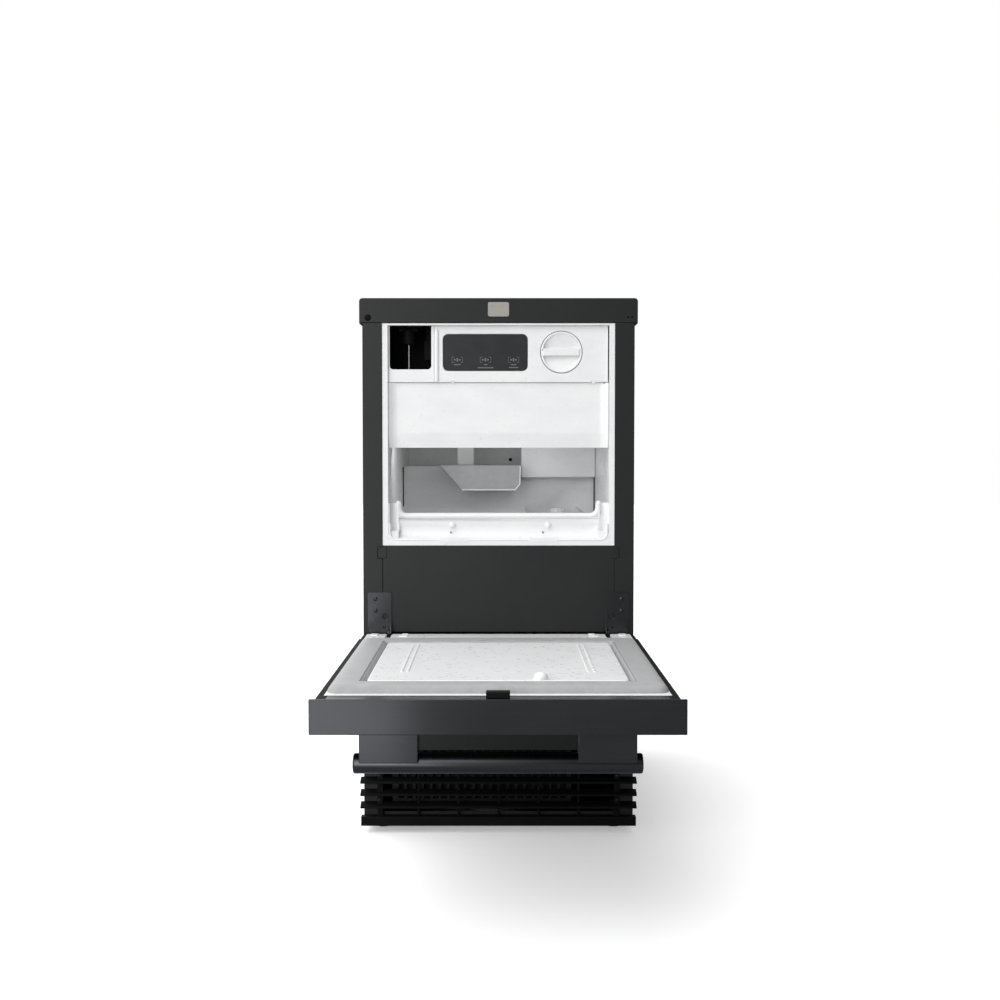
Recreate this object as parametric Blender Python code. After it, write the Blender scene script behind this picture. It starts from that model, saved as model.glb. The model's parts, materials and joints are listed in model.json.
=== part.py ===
"""Undercounter clear-ice maker with a drop-down door, modelled with the door open.

Sizes are in millimetres in the cabinet's own frame: x to the right, y back from
the face of the cabinet's front columns, z up from the cabinet's underside.
World coordinates are metres, +Z up, front towards -Y, with the origin on the
floor under the middle of the whole object.
"""
import math

import bmesh
import bpy
from mathutils import Matrix, Vector

MM = 0.001
GAP = 0.3                      # face-to-face gap between neighbouring pieces

# Cabinet
CABINET_WIDTH = 438.0
CABINET_DEPTH = 568.0
CABINET_HEIGHT = 852.8         # underside to top
FOOT_HEIGHT = 12.0             # floor to underside, feet screwed right in
SHEET = 1.5                    # steel sheet
COLUMN_WIDTH = 31.4            # face of each front column
CAP_HEIGHT = 39.8
CAP_OVERHANG = 5.0
CAP_FASCIA = 3.0

# Door
DOOR_WIDTH = CABINET_WIDTH + 16.0
DOOR_BODY_WIDTH = CABINET_WIDTH + 1.2
DOOR_THICKNESS = 43.1
DOOR_BOTTOM = 307.0            # height of the closed door's bottom edge
DOOR_CLEARANCE = 3.0           # open door's rear edge to the columns
HINGE_INSET = 6.0              # hinge axis in from the door's rear edge
HINGE_RISE = 1.1               # hinge axis above the inner face of the open door
PLUG_HEIGHT = 10.1             # raised panel inside the gasket
GASKET_WIDTH = 42.0
SEAL_GAP = 1.0                 # closed gasket to the columns
HANDLE_DIAMETER = 25.0
HANDLE_LENGTH = 357.0
HANDLE_DROP = 45.0             # door face to the bar's centre
POST_WIDTH = 72.0

# White lined compartment
LINER_BOTTOM = 454.6           # height of the liner flange's lower edge
LINER_WALL = 3.0
FLANGE_WIDTH = 8.8
FLANGE_SETBACK = 1.5           # liner flange behind the column faces
SILL_TOP = 506.5
BIN_FLOOR = 480.0
BIN_DEPTH = 320.0
CHAMBER_DEPTH = 480.0          # upper chamber, above the bin's rear ledge
LEDGE_HEIGHT = 577.6
BEZEL_HEIGHT = 95.0
COVER_HEIGHT = 103.0
PUMP_BAY_WIDTH = 67.1
FILTER_RADIUS = 33.3
FILTER_INSET = 76.9            # filter axis in from the right-hand inner wall
DISPLAY_WIDTH = 136.4
DISPLAY_HEIGHT = 58.8

# Lower front
GRILLE_HEIGHT = 118.0
ACCESS_BOTTOM = 121.0

HALF = CABINET_WIDTH / 2
WINDOW_HALF = HALF - COLUMN_WIDTH
FLANGE_HALF = WINDOW_HALF - GAP
CAVITY_HALF = FLANGE_HALF - FLANGE_WIDTH
CAP_HALF = HALF + CAP_OVERHANG
CAP_BOTTOM = CABINET_HEIGHT - CAP_HEIGHT
COLUMN_TOP = CAP_BOTTOM - GAP
LINER_TOP = COLUMN_TOP - GAP
CEILING = LINER_TOP - LINER_WALL
BEZEL_BOTTOM = CAP_BOTTOM - BEZEL_HEIGHT
COVER_BOTTOM = BEZEL_BOTTOM - COVER_HEIGHT
CAVITY_FIT = CAVITY_HALF - GAP
SHELL_BACK = CABINET_DEPTH - SHEET - 2 * GAP

DOOR_BACK = -DOOR_CLEARANCE
DOOR_FRONT = DOOR_BACK - (CABINET_HEIGHT - DOOR_BOTTOM)
PIVOT_Y = DOOR_BACK - HINGE_INSET
PIVOT_Z = DOOR_BOTTOM + HINGE_INSET
DOOR_INNER = PIVOT_Z - HINGE_RISE
DOOR_OUTER = DOOR_INNER - DOOR_THICKNESS
GASKET_CREST = PIVOT_Z - PIVOT_Y - SEAL_GAP
DOOR_HALF = DOOR_WIDTH / 2
DOOR_BODY_HALF = DOOR_BODY_WIDTH / 2

FRONT_Y = -(DOOR_FRONT + CABINET_DEPTH) / 2
TO_WORLD = Matrix.Translation((0, FRONT_Y * MM, FOOT_HEIGHT * MM)) @ Matrix.Scale(MM, 4)

FINISHES = {
    "black_paint": ("#2b2c2e", 0.42, 0.0),
    "black_steel": ("#3a3c3f", 0.3, 0.85),
    "black_plastic": ("#141415", 0.5, 0.0),
    "white_plastic": ("#eceded", 0.35, 0.0),
    "grey_gasket": ("#b4b5b5", 0.55, 0.0),
    "galvanised": ("#a9adb0", 0.45, 0.9),
    "steel": ("#b9bbbc", 0.3, 1.0),
    "nickel": ("#9c9b98", 0.35, 0.8),
    "copper": ("#b87350", 0.3, 1.0),
    "glass_black": ("#26282a", 0.08, 0.0),
    "board_green": ("#1f5b3a", 0.5, 0.0),
    "foam": ("#e5d9a8", 0.9, 0.0),
    "rubber": ("#1b1b1c", 0.8, 0.0),
    "grey_plastic": ("#8d9194", 0.5, 0.0),
}


def linear(hex_colour):
    """Principled colour for an sRGB hex value."""
    channels = [int(hex_colour[i:i + 2], 16) / 255 for i in (1, 3, 5)]
    return [c / 12.92 if c <= 0.04045 else ((c + 0.055) / 1.055) ** 2.4 for c in channels] + [1.0]


def material(finish):
    """The material of a finish, made once."""
    found = bpy.data.materials.get(finish)
    if found:
        return found
    colour, roughness, metallic = FINISHES[finish]
    made = bpy.data.materials.new(finish)
    made.use_nodes = True
    shader = made.node_tree.nodes["Principled BSDF"]
    shader.inputs["Base Color"].default_value = linear(colour)
    shader.inputs["Roughness"].default_value = roughness
    shader.inputs["Metallic"].default_value = metallic
    made.diffuse_color = linear(colour)
    return made


def block(x, y, z):
    """A box between the (low, high) pairs x, y and z."""
    bm = bmesh.new()
    size = Matrix.Diagonal((x[1] - x[0], y[1] - y[0], z[1] - z[0], 1))
    centre = Matrix.Translation(((x[0] + x[1]) / 2, (y[0] + y[1]) / 2, (z[0] + z[1]) / 2))
    bmesh.ops.create_cube(bm, size=1, matrix=centre @ size)
    return bm


def place(axis, pair, along):
    """A point from a pair in the plane across axis and its height along axis."""
    if axis == "x":
        return Vector((along, pair[0], pair[1]))
    if axis == "y":
        return Vector((pair[0], along, pair[1]))
    return Vector((pair[0], pair[1], along))


def prism(outline, axis, span):
    """A closed outline across axis, extruded over span."""
    bm = bmesh.new()
    base = bm.faces.new([bm.verts.new(place(axis, pair, span[0])) for pair in outline])
    grown = bmesh.ops.extrude_face_region(bm, geom=[base])
    moved = [v for v in grown["geom"] if isinstance(v, bmesh.types.BMVert)]
    bmesh.ops.translate(bm, vec=place(axis, (0, 0), span[1] - span[0]), verts=moved)
    bmesh.ops.recalc_face_normals(bm, faces=bm.faces)
    return bm


def circle(centre, radius, sides=16):
    """Outline of a circle."""
    turns = [math.tau * i / sides for i in range(sides)]
    return [(centre[0] + radius * math.cos(t), centre[1] + radius * math.sin(t)) for t in turns]


def rod(axis, centre, radius, span, sides=16):
    """A cylinder along axis."""
    return prism(circle(centre, radius, sides), axis, span)


def rounded(a, b, radius, steps=3, corners=(1, 1, 1, 1)):
    """Outline of a rectangle with round corners, listed from low-low anticlockwise."""
    centres = [(a[0], b[0], 180), (a[1], b[0], 270), (a[1], b[1], 0), (a[0], b[1], 90)]
    outline = []
    for (ca, cb, start), is_round in zip(centres, corners):
        if not is_round:
            outline.append((ca, cb))
            continue
        ma = ca + radius if ca == a[0] else ca - radius
        mb = cb + radius if cb == b[0] else cb - radius
        for step in range(steps + 1):
            turn = math.radians(start + 90 * step / steps)
            outline.append((ma + radius * math.cos(turn), mb + radius * math.sin(turn)))
    return outline


def ring(x, y, base, profile, corner):
    """A band round a rectangle; profile lists (inset, height) from its outer foot to its inner."""
    bm = bmesh.new()
    loops = []
    for inset, height in profile:
        radius = max(corner - inset, 1.0)
        outline = rounded((x[0] + inset, x[1] - inset), (y[0] + inset, y[1] - inset), radius, 4)
        loops.append([bm.verts.new((px, py, base + height)) for px, py in outline])
    for near, far in zip(loops, loops[1:] + loops[:1]):
        for i in range(len(near)):
            j = (i + 1) % len(near)
            bm.faces.new((near[i], near[j], far[j], far[i]))
    bmesh.ops.recalc_face_normals(bm, faces=bm.faces)
    return bm


def turned(profile, axis_x, axis_y, sides=24):
    """A solid of revolution about a vertical axis; profile lists (radius, z), pole to pole."""
    bm = bmesh.new()
    verts = [bm.verts.new((axis_x + r, axis_y, z)) for r, z in profile]
    edges = [bm.edges.new(pair) for pair in zip(verts, verts[1:])]
    bmesh.ops.spin(bm, geom=verts + edges, cent=(axis_x, axis_y, 0), axis=(0, 0, 1),
                   angle=math.tau, steps=sides, use_merge=True)
    bmesh.ops.remove_doubles(bm, verts=bm.verts, dist=0.001)
    bmesh.ops.recalc_face_normals(bm, faces=bm.faces)
    return bm


def mirrored(x, side):
    """The pair x on the right, or its mirror image on the left."""
    return x if side > 0 else (-x[1], -x[0])


def mesh_object(name, bm):
    """An object in world metres from a bmesh in cabinet millimetres."""
    bm.transform(TO_WORLD)
    mesh = bpy.data.meshes.new(name)
    bm.to_mesh(mesh)
    bm.free()
    made = bpy.data.objects.new(name, mesh)
    bpy.context.scene.collection.objects.link(made)
    return made


def node(name, finish, base, add=(), cut=()):
    """A named piece: base, joined with each solid in add, less each solid in cut."""
    made = mesh_object(name, base)
    made.data.materials.append(material(finish))
    made.data.shade_smooth()
    made.data.set_sharp_from_angle(angle=math.radians(35))
    for operation, tools in (("UNION", add), ("DIFFERENCE", cut)):
        for number, tool_bm in enumerate(tools):
            tool = mesh_object(f"{name}_{operation.lower()}_{number}", tool_bm)
            tool.hide_render = True
            tool.display_type = "WIRE"
            tool.parent = made
            boolean = made.modifiers.new(tool.name, "BOOLEAN")
            boolean.operation = operation
            boolean.solver = "EXACT"
            boolean.object = tool
    return made


def pipe(name, finish, points, radius):
    """A round tube or rod along points, with filled ends."""
    curve = bpy.data.curves.new(name, "CURVE")
    curve.dimensions = "3D"
    curve.bevel_depth = radius * MM
    curve.bevel_resolution = 1
    curve.use_fill_caps = True
    spline = curve.splines.new("POLY")
    spline.points.add(len(points) - 1)
    for slot, point in zip(spline.points, points):
        slot.co = (*(TO_WORLD @ Vector(point)), 1)
    made = bpy.data.objects.new(name, curve)
    made.data.materials.append(material(finish))
    bpy.context.scene.collection.objects.link(made)
    return made


def filleted(corners, radius, steps=4):
    """A route through corners with each bend rounded to radius, straight at both ends."""
    first, second, last_but_one, last = (Vector(corners[i]) for i in (0, 1, -2, -1))
    stub = 3.0
    route = [first, first + (second - first).normalized() * stub]
    for before, corner, after in zip(corners, corners[1:], corners[2:]):
        corner = Vector(corner)
        back = (Vector(before) - corner).normalized()
        ahead = (Vector(after) - corner).normalized()
        half_angle = back.angle(ahead) / 2
        reach = radius / math.tan(half_angle)
        middle = corner + (back + ahead).normalized() * radius / math.sin(half_angle)
        start = corner + back * reach - middle
        end = corner + ahead * reach - middle
        for step in range(steps + 1):
            route.append(middle + start.slerp(end, step / steps) * radius)
    route += [last + (last_but_one - last).normalized() * stub, last]
    return route


def hang(name, pivot, pieces):
    """An empty on a joint's axis that carries the pieces which move with it."""
    axis = bpy.data.objects.new(name, None)
    axis.location = TO_WORLD @ Vector(pivot)
    axis.empty_display_size = 0.03
    bpy.context.scene.collection.objects.link(axis)
    shift = Matrix.Translation(-axis.location)
    for piece in pieces:
        piece.data.transform(shift)
        piece.parent = axis
        for tool in piece.children:
            tool.data.transform(shift)


# ---------------------------------------------------------------- cabinet

CLIP_X = (WINDOW_HALF - 6.6, WINDOW_HALF + 7.4)
CLIP_Z = (LINER_BOTTOM - 20.6, LINER_BOTTOM - 2.6)


def clip_pocket(side):
    """Opening that a panel clip sits in."""
    x = mirrored((CLIP_X[0] - GAP, CLIP_X[1] + GAP), side)
    return block(x, (-10, 10), (CLIP_Z[0] - GAP, CLIP_Z[1] + GAP))


def cabinet_shell():
    """Folded steel wrap: two sides, top and front columns, open below and behind."""
    inside = (-HALF + SHEET, HALF - SHEET)
    top = CABINET_HEIGHT - SHEET - 2.3
    node("cabinet_shell", "black_paint",
         block((-HALF, HALF), (0, SHELL_BACK), (0, top)),
         cut=[block(inside, (SHEET, CABINET_DEPTH + 10), (-10, top - SHEET)),
              block((-WINDOW_HALF, WINDOW_HALF), (-10, 10), (-10, COLUMN_TOP)),
              block((-HALF - 5, HALF + 5), (-10, CAP_FASCIA + GAP), (COLUMN_TOP, top + 10)),
              clip_pocket(1), clip_pocket(-1)])


CAP_LIP = 1.1                  # how far the cap's sides hang below its fascia
CAP_CORNER = 5.0
STRIKE_HALF = 17.0
STRIKE_RISE = (10.1, 33.1)     # latch plate above the fascia's lower edge
STRIKE_CORNER = 3.0
STRIKE_PROUD = 0.9


def top_cap():
    """Formed lid that overhangs the sides, with a deep front fascia."""
    side_bottom = CAP_BOTTOM - CAP_LIP
    outline = rounded((-CAP_HALF, CAP_HALF), (side_bottom, CABINET_HEIGHT), CAP_CORNER, 3, (0, 0, 1, 1))
    hollow = (-CAP_HALF + SHEET, CAP_HALF - SHEET)
    node("top_cap", "black_paint", prism(outline, "y", (0, CABINET_DEPTH)),
         cut=[block(hollow, (CAP_FASCIA, CABINET_DEPTH + 10), (side_bottom - 10, CABINET_HEIGHT - SHEET)),
              block((-HALF - GAP, HALF + GAP), (-10, CAP_FASCIA + 5), (side_bottom - 10, CAP_BOTTOM))])
    strike_z = tuple(CAP_BOTTOM + rise for rise in STRIKE_RISE)
    node("strike_plate", "nickel",
         prism(rounded((-STRIKE_HALF, STRIKE_HALF), strike_z, STRIKE_CORNER), "y", (-STRIKE_PROUD, -GAP)))


PAN_HALF = HALF - SHEET - GAP
FOOT_X = HALF - 29
FOOT_Y = (40, CABINET_DEPTH - 43)
STEM_RADIUS = 5.0
FOOT_TRAVEL = 20.0
FOOT_RADIUS = 17.0
FOOT_PAD_TOP = -3.0
NUT_RADIUS = 8.0
PAN_RIM = 20.0


def base_pan():
    """Folded floor pan that carries the compressor and takes the feet."""
    depth = (SHEET + GAP, SHELL_BACK - GAP)
    holes = [rod("z", (x, y), STEM_RADIUS + 0.5, (-5, 5), 12)
             for x in (-FOOT_X, FOOT_X) for y in FOOT_Y]
    inner = block((-PAN_HALF + SHEET, PAN_HALF - SHEET), (depth[0] + SHEET, depth[1] - SHEET), (SHEET, 30))
    node("base_pan", "black_paint", block((-PAN_HALF, PAN_HALF), depth, (0, PAN_RIM)), cut=[inner, *holes])


def levelling_feet():
    """Four screw feet, each with its stem up through the pan."""
    for x, side in ((-FOOT_X, "left"), (FOOT_X, "right")):
        for y, end in zip(FOOT_Y, ("front", "rear")):
            foot = node(f"foot_{end}_{side}", "rubber",
                        rod("z", (x, y), FOOT_RADIUS, (-FOOT_HEIGHT, FOOT_PAD_TOP), 20),
                        add=[rod("z", (x, y), NUT_RADIUS, (FOOT_PAD_TOP - 2, -GAP), 6),
                             rod("z", (x, y), STEM_RADIUS, (FOOT_PAD_TOP - 2, FOOT_TRAVEL + 8), 12)])
            hang(f"foot_{end}_{side}_axis", (x, y, -FOOT_HEIGHT), [foot])


INLET = (-150, 150)            # water inlet through the back panel, x and z
GLAND = (150, 90)              # cord gland in the back panel, x and z
INLET_RADIUS = 9.5
GLAND_RADIUS = 11.0
LOUVRE_HALF = 90.0
LOUVRE_HEIGHT = 6.0
LOUVRES = range(70, 190, 20)    # heights of the louvre slots


def back_panel():
    """Rear sheet with louvre slots, the water inlet and the cord gland."""
    face = (CABINET_DEPTH - SHEET, CABINET_DEPTH)
    slots = [block((-LOUVRE_HALF, LOUVRE_HALF), (face[0] - 5, face[1] + 5), (z, z + LOUVRE_HEIGHT))
             for z in LOUVRES]
    holes = [rod("y", INLET, INLET_RADIUS + 0.6, (face[0] - 5, face[1] + 5)),
             rod("y", GLAND, GLAND_RADIUS + 0.6, (face[0] - 5, face[1] + 5))]
    node("back_panel", "galvanised", block((-HALF + 1, HALF - 1), face, (1, CABINET_HEIGHT - 4.8)),
         cut=slots + holes)


# ---------------------------------------------------------------- lower front

LOWER_HALF = HALF + 3.8        # grille and access panel reach past the cabinet's sides
GRILLE_FRONT = -14.0
BASE_BAR = 15.0
FIRST_SLAT = 30.0
SLAT_PITCH = 20.2
SLAT_THICKNESS = 3.4
SLAT_RISE = 4.0
END_POST_WIDTH = 9.0
UPRIGHT_PITCH = 65.0
UPRIGHT_WIDTH = 4.0
WING_DEPTH = 25.0              # access panel's folds along the cabinet's sides


def kick_grille():
    """Louvred toe grille: base bar, leaning slats, end posts and thin uprights."""
    back = -GAP
    slat_back = back - 0.5
    root = BASE_BAR - 10
    parts = []
    count = int((GRILLE_HEIGHT - FIRST_SLAT) // SLAT_PITCH) + 1
    for i in range(count):
        z = FIRST_SLAT + i * SLAT_PITCH
        lean = [(GRILLE_FRONT, z - SLAT_THICKNESS / 2), (slat_back, z + SLAT_RISE),
                (slat_back, z + SLAT_RISE + SLAT_THICKNESS), (GRILLE_FRONT, z + SLAT_THICKNESS / 2)]
        parts.append(prism(lean, "x", (-CAP_HALF, CAP_HALF)))
    for side in (-1, 1):
        post = mirrored((WINDOW_HALF, WINDOW_HALF + END_POST_WIDTH), side)
        parts.append(block(post, (GRILLE_FRONT / 2, back), (root, GRILLE_HEIGHT)))
    bars = int(WINDOW_HALF // UPRIGHT_PITCH)
    for i in range(-bars, bars + 1):
        upright = (i * UPRIGHT_PITCH - UPRIGHT_WIDTH / 2, i * UPRIGHT_PITCH + UPRIGHT_WIDTH / 2)
        parts.append(block(upright, (GRILLE_FRONT / 2 + 1, back), (root, GRILLE_HEIGHT - 1)))
    node("kick_grille", "black_plastic",
         block((-LOWER_HALF, LOWER_HALF), (GRILLE_FRONT, back), (0, BASE_BAR)), add=parts)


def access_panel():
    """Removable lower front cover, folded back round the cabinet's sides."""
    front = -GAP - SHEET
    z = (ACCESS_BOTTOM, DOOR_BOTTOM - 2)
    wings = [block(mirrored((LOWER_HALF - SHEET, LOWER_HALF), side), (front, WING_DEPTH), z)
             for side in (-1, 1)]
    node("access_panel", "black_paint", block((-LOWER_HALF, LOWER_HALF), (front, -GAP), z), add=wings)


def lower_front_panel():
    """Black panel between the columns under the lined compartment, hooked into them by two tabs."""
    z = (PIVOT_Z + 1, LINER_BOTTOM - 2 * GAP)
    tabs = [block(mirrored(CLIP_X, side), (-0.5, 1.3), CLIP_Z) for side in (-1, 1)]
    foot = block((-FLANGE_HALF + 1, FLANGE_HALF - 1), (0.5, 20), (z[0], z[0] + SHEET))
    node("lower_front_panel", "black_paint", block((-FLANGE_HALF, FLANGE_HALF), (0.2, 0.2 + SHEET), z),
         add=[foot, *tabs])


# ---------------------------------------------------------------- hinges and door

SLOT_X = (WINDOW_HALF - 15.3, WINDOW_HALF - 7.9)    # hinge slot in the open door
SLOT_LENGTH = 43.0
EAR_X = (SLOT_X[0] + 0.6, SLOT_X[0] + 2.9)
ARM_X = (EAR_X[1] + 0.4, SLOT_X[1] - 0.8)
PIN_RADIUS = 3.0
KNUCKLE_RADIUS = 5.5
BRACKET_THICKNESS = 2.0
BRACKET_HEIGHT = 65.6
BRACKET_REACH = 24.4            # outer edge of the bracket beyond the window
ARM_LENGTH = 60.0
ARM_DROP = (14.0, 4.0)         # arm's lower and upper edge below the door's inner face


def hinge(side, word):
    """Fixed bracket with an ear, its pin, and the arm that carries the door."""
    face = (-GAP - BRACKET_THICKNESS, -GAP)
    pivot = (PIVOT_Y, PIVOT_Z)
    outer = WINDOW_HALF + BRACKET_REACH
    holes = [(WINDOW_HALF + 11.4, PIVOT_Z + 55, 2.6), (WINDOW_HALF + 11.4, PIVOT_Z + 36, 2.6),
             (WINDOW_HALF - 4.6, PIVOT_Z + 27, 5.0), (WINDOW_HALF - 2.6, PIVOT_Z + 9, 2.0)]
    plate = rounded(mirrored((EAR_X[0], outer), side), (PIVOT_Z, PIVOT_Z + BRACKET_HEIGHT), 3)
    ear = mirrored(EAR_X, side)
    strip = [(PIVOT_Y, PIVOT_Z - 4), (face[0] + 0.5, PIVOT_Z - 4), (face[0] + 0.5, PIVOT_Z + 22),
             (PIVOT_Y - 2, PIVOT_Z + 5)]
    node(f"hinge_bracket_{word}", "black_steel", prism(plate, "y", face),
         add=[prism(strip, "x", ear), rod("x", pivot, KNUCKLE_RADIUS, ear)],
         cut=[rod("y", (side * x, z), r, (-10, 10), 12) for x, z, r in holes]
         + [rod("x", pivot, PIN_RADIUS + GAP, (ear[0] - 2, ear[1] + 2))])
    node(f"hinge_pin_{word}", "steel",
         rod("x", pivot, PIN_RADIUS, mirrored((EAR_X[0] - 0.2, ARM_X[1] + 0.2), side)))
    arm = mirrored(ARM_X, side)
    low, high = (DOOR_INNER - drop for drop in ARM_DROP)
    ends = (DOOR_BACK - ARM_LENGTH, DOOR_BACK - 1)
    bar = [(ends[0], low), (ends[1], low), (ends[1], high), (ends[0], high)]
    riser = block(arm, (PIVOT_Y - KNUCKLE_RADIUS + 0.5, PIVOT_Y + KNUCKLE_RADIUS - 0.5), (high - 2, PIVOT_Z))
    return node(f"hinge_arm_{word}", "steel", prism(bar, "x", arm),
                add=[riser, rod("x", pivot, KNUCKLE_RADIUS, arm)],
                cut=[rod("x", pivot, PIN_RADIUS + GAP, (arm[0] - 2, arm[1] + 2))])


SKIN = 1.2
SKIN_WALL = 21.2               # height of the skin's side folds
RETURN_DEPTH = 22.0            # skin's fold along the door's free edge
FRAME_FRONT = DOOR_FRONT + RETURN_DEPTH + GAP
FRAME_BACK = DOOR_BACK - GAP
FRAME_WALL = 6.6
CORNER_X = DOOR_BODY_HALF - 12.3    # inner side of the frame's corner blocks
LINER_HALF = DOOR_BODY_HALF - FRAME_WALL - GAP
LINER_FRONT = FRAME_FRONT + FRAME_WALL / 2
LINER_BACK = FRAME_BACK - FRAME_WALL / 2
GASKET_X = LINER_HALF - 1.7
GASKET_FRONT = DOOR_FRONT + 38.0
GASKET_BACK = DOOR_BACK - 96.0
GASKET_SIDE = GASKET_WIDTH + 2.0
DOME_X = 54.4                  # raised button that presses the door switch
DOME_RISE = BEZEL_BOTTOM + 39.9    # its height on the closed door
DOME_RADIUS = 9.2
DOME_HEIGHT = 6.3


def slot_cut(side, y, z, spare=0.0):
    """Room for a hinge in one of the door's layers."""
    return block(mirrored((SLOT_X[0] - spare, SLOT_X[1] + spare), side), y, z)


def door_skin():
    """Outer door panel: face, side folds, tall free edge and the fold along that edge."""
    inner = DOOR_HALF - SKIN
    front = DOOR_FRONT + SKIN
    above = (DOOR_OUTER + SKIN_WALL, DOOR_INNER + 10)
    corners = [block(mirrored((CORNER_X, DOOR_HALF + 5), s), (DOOR_FRONT + 3 * SKIN, 10), above)
               for s in (-1, 1)]
    return node("door_skin", "black_steel",
                block((-DOOR_HALF, DOOR_HALF), (DOOR_FRONT, DOOR_BACK), (DOOR_OUTER, DOOR_INNER)),
                cut=[block((-inner, inner), (front, 10), (DOOR_OUTER + SKIN, DOOR_INNER - SKIN)),
                     block((-DOOR_HALF - 5, DOOR_HALF + 5), (DOOR_FRONT + RETURN_DEPTH, 10), above),
                     *corners])


def door_frame():
    """Black perimeter frame between skin and liner, with corner blocks at the free edge."""
    z = (DOOR_OUTER + SKIN + GAP, DOOR_INNER)
    inner = DOOR_BODY_HALF - FRAME_WALL
    narrow = [block(mirrored((DOOR_BODY_HALF - 4, DOOR_BODY_HALF + 5), s), (DOOR_BACK - 57, 5),
                    (z[0] - 5, z[1] + 5)) for s in (-1, 1)]
    notches = [slot_cut(s, (FRAME_BACK - 10, 5), (DOOR_INNER - 15, DOOR_INNER + 5)) for s in (-1, 1)]
    return node("door_frame", "black_plastic",
                block((-DOOR_BODY_HALF, DOOR_BODY_HALF), (FRAME_FRONT, FRAME_BACK), z),
                add=[block(mirrored((CORNER_X + GAP, DOOR_BODY_HALF), s), (DOOR_FRONT + 4.2, FRAME_FRONT + 1),
                           (DOOR_OUTER + SKIN_WALL + GAP, DOOR_INNER)) for s in (-1, 1)],
                cut=[block((-inner, inner), (LINER_FRONT - GAP, LINER_BACK + GAP), (z[0] - 5, z[1] + 5)),
                     *narrow, *notches])


def door_liner():
    """White inner door moulding with a raised panel inside the gasket."""
    top = DOOR_INNER + PLUG_HEIGHT
    plug_x = (-GASKET_X + GASKET_SIDE + 1, GASKET_X - GASKET_SIDE - 1)
    plug_y = (GASKET_FRONT + GASKET_WIDTH + 5, GASKET_BACK - GASKET_WIDTH - 7)
    wall = LINER_WALL
    lining = block((plug_x[0] + wall, plug_x[1] - wall), (plug_y[0] + wall, plug_y[1] - wall),
                   (DOOR_INNER - 10, top - wall))
    made = node("door_liner", "white_plastic",
                block((-LINER_HALF, LINER_HALF), (LINER_FRONT, LINER_BACK), (DOOR_INNER - wall, DOOR_INNER)),
                add=[prism(rounded(plug_x, plug_y, 8), "z", (DOOR_INNER - 1, top)),
                     turned([(0, top - 1), (DOME_RADIUS, top - 1), (DOME_RADIUS * 0.85, top + DOME_HEIGHT * 0.6),
                             (DOME_RADIUS * 0.45, top + DOME_HEIGHT * 0.93), (0, top + DOME_HEIGHT)],
                            DOME_X, PIVOT_Y + PIVOT_Z - DOME_RISE, 16)],
                cut=[lining] + [slot_cut(s, (DOOR_BACK - SLOT_LENGTH, 5), (DOOR_INNER - 15, DOOR_INNER + 5))
                                for s in (-1, 1)])
    core_fit = wall + GAP
    core = block((plug_x[0] + core_fit, plug_x[1] - core_fit), (plug_y[0] + core_fit, plug_y[1] - core_fit),
                 (DOOR_INNER - 8, top - core_fit))
    slab = block((-LINER_HALF, LINER_HALF), (LINER_FRONT, LINER_BACK),
                 (DOOR_OUTER + SKIN + 2 * GAP, DOOR_INNER - core_fit))
    foam = node("door_insulation", "foam", slab, add=[core],
                cut=[slot_cut(s, (DOOR_BACK - ARM_LENGTH - 6, 5), (DOOR_INNER - 18, DOOR_INNER + 5), 0.4)
                     for s in (-1, 1)])
    return [made, foam]


def door_gasket():
    """Grey magnetic seal with a crowned section."""
    foot = DOOR_INNER + GAP
    crown = GASKET_CREST - foot
    width = GASKET_WIDTH
    profile = [(0, 0), (1.0, crown * 0.45), (6, crown * 0.85), (14, crown), (width - 14, crown),
               (width - 6, crown * 0.85), (width - 1.0, crown * 0.45), (width, 0)]
    return node("door_gasket", "grey_gasket",
                ring((-GASKET_X, GASKET_X), (GASKET_FRONT, GASKET_BACK), foot, profile, 14))


HANDLE_SETBACK = 45.0          # door's free edge to the bar's centre
POST_INSET = 8.5               # post in from the bar's end
POST_HALF_DEPTH = 17.0
TAB_HALF = 14.5
TAB_DEPTH = (3.0, 18.0)        # latch tab from the door's free edge
TAB_RISE = 8.0


def door_hardware():
    """Latch tab, and the bar handle on its two posts."""
    tab_y = tuple(DOOR_FRONT + depth for depth in TAB_DEPTH)
    tab = node("latch_tab", "black_plastic",
               prism(rounded((-TAB_HALF, TAB_HALF), tab_y, 1.5), "z", (DOOR_INNER + GAP, DOOR_INNER + TAB_RISE)))
    bar_y = DOOR_FRONT + HANDLE_SETBACK
    bar_z = DOOR_OUTER - HANDLE_DROP
    radius = HANDLE_DIAMETER / 2
    half = HANDLE_LENGTH / 2
    bar = node("handle_bar", "black_steel", rod("x", (bar_y, bar_z), radius, (-half + 3, half - 3), 24),
               add=[rod("x", (bar_y, bar_z), radius - 3, (-half, half), 24)])
    pieces = [tab, bar]
    for side, word in ((-1, "left"), (1, "right")):
        x = mirrored((half - POST_INSET - POST_WIDTH, half - POST_INSET), side)
        post = block(x, (bar_y - POST_HALF_DEPTH, bar_y + POST_HALF_DEPTH), (bar_z + 4, DOOR_OUTER - GAP))
        pieces.append(node(f"handle_post_{word}", "black_steel", post,
                           cut=[rod("x", (bar_y, bar_z), radius + GAP, (x[0] - 5, x[1] + 5), 24)]))
    return pieces


# ---------------------------------------------------------------- lined compartment

SILL_BACK = 24.0
RAIL_RADIUS = 4.7
SHOULDER_X = 162.0             # raised ends of the sill start here
SHOULDER_TOP = SILL_TOP + 16.5
POCKET_RADIUS = 9.0            # scoop holder's hollow in each shoulder
RAMP_END = 50.0                # bin floor rises towards the back wall left of here
RAMP_START = BIN_DEPTH - 75.0
RAMP_RISE = 25.0


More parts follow.
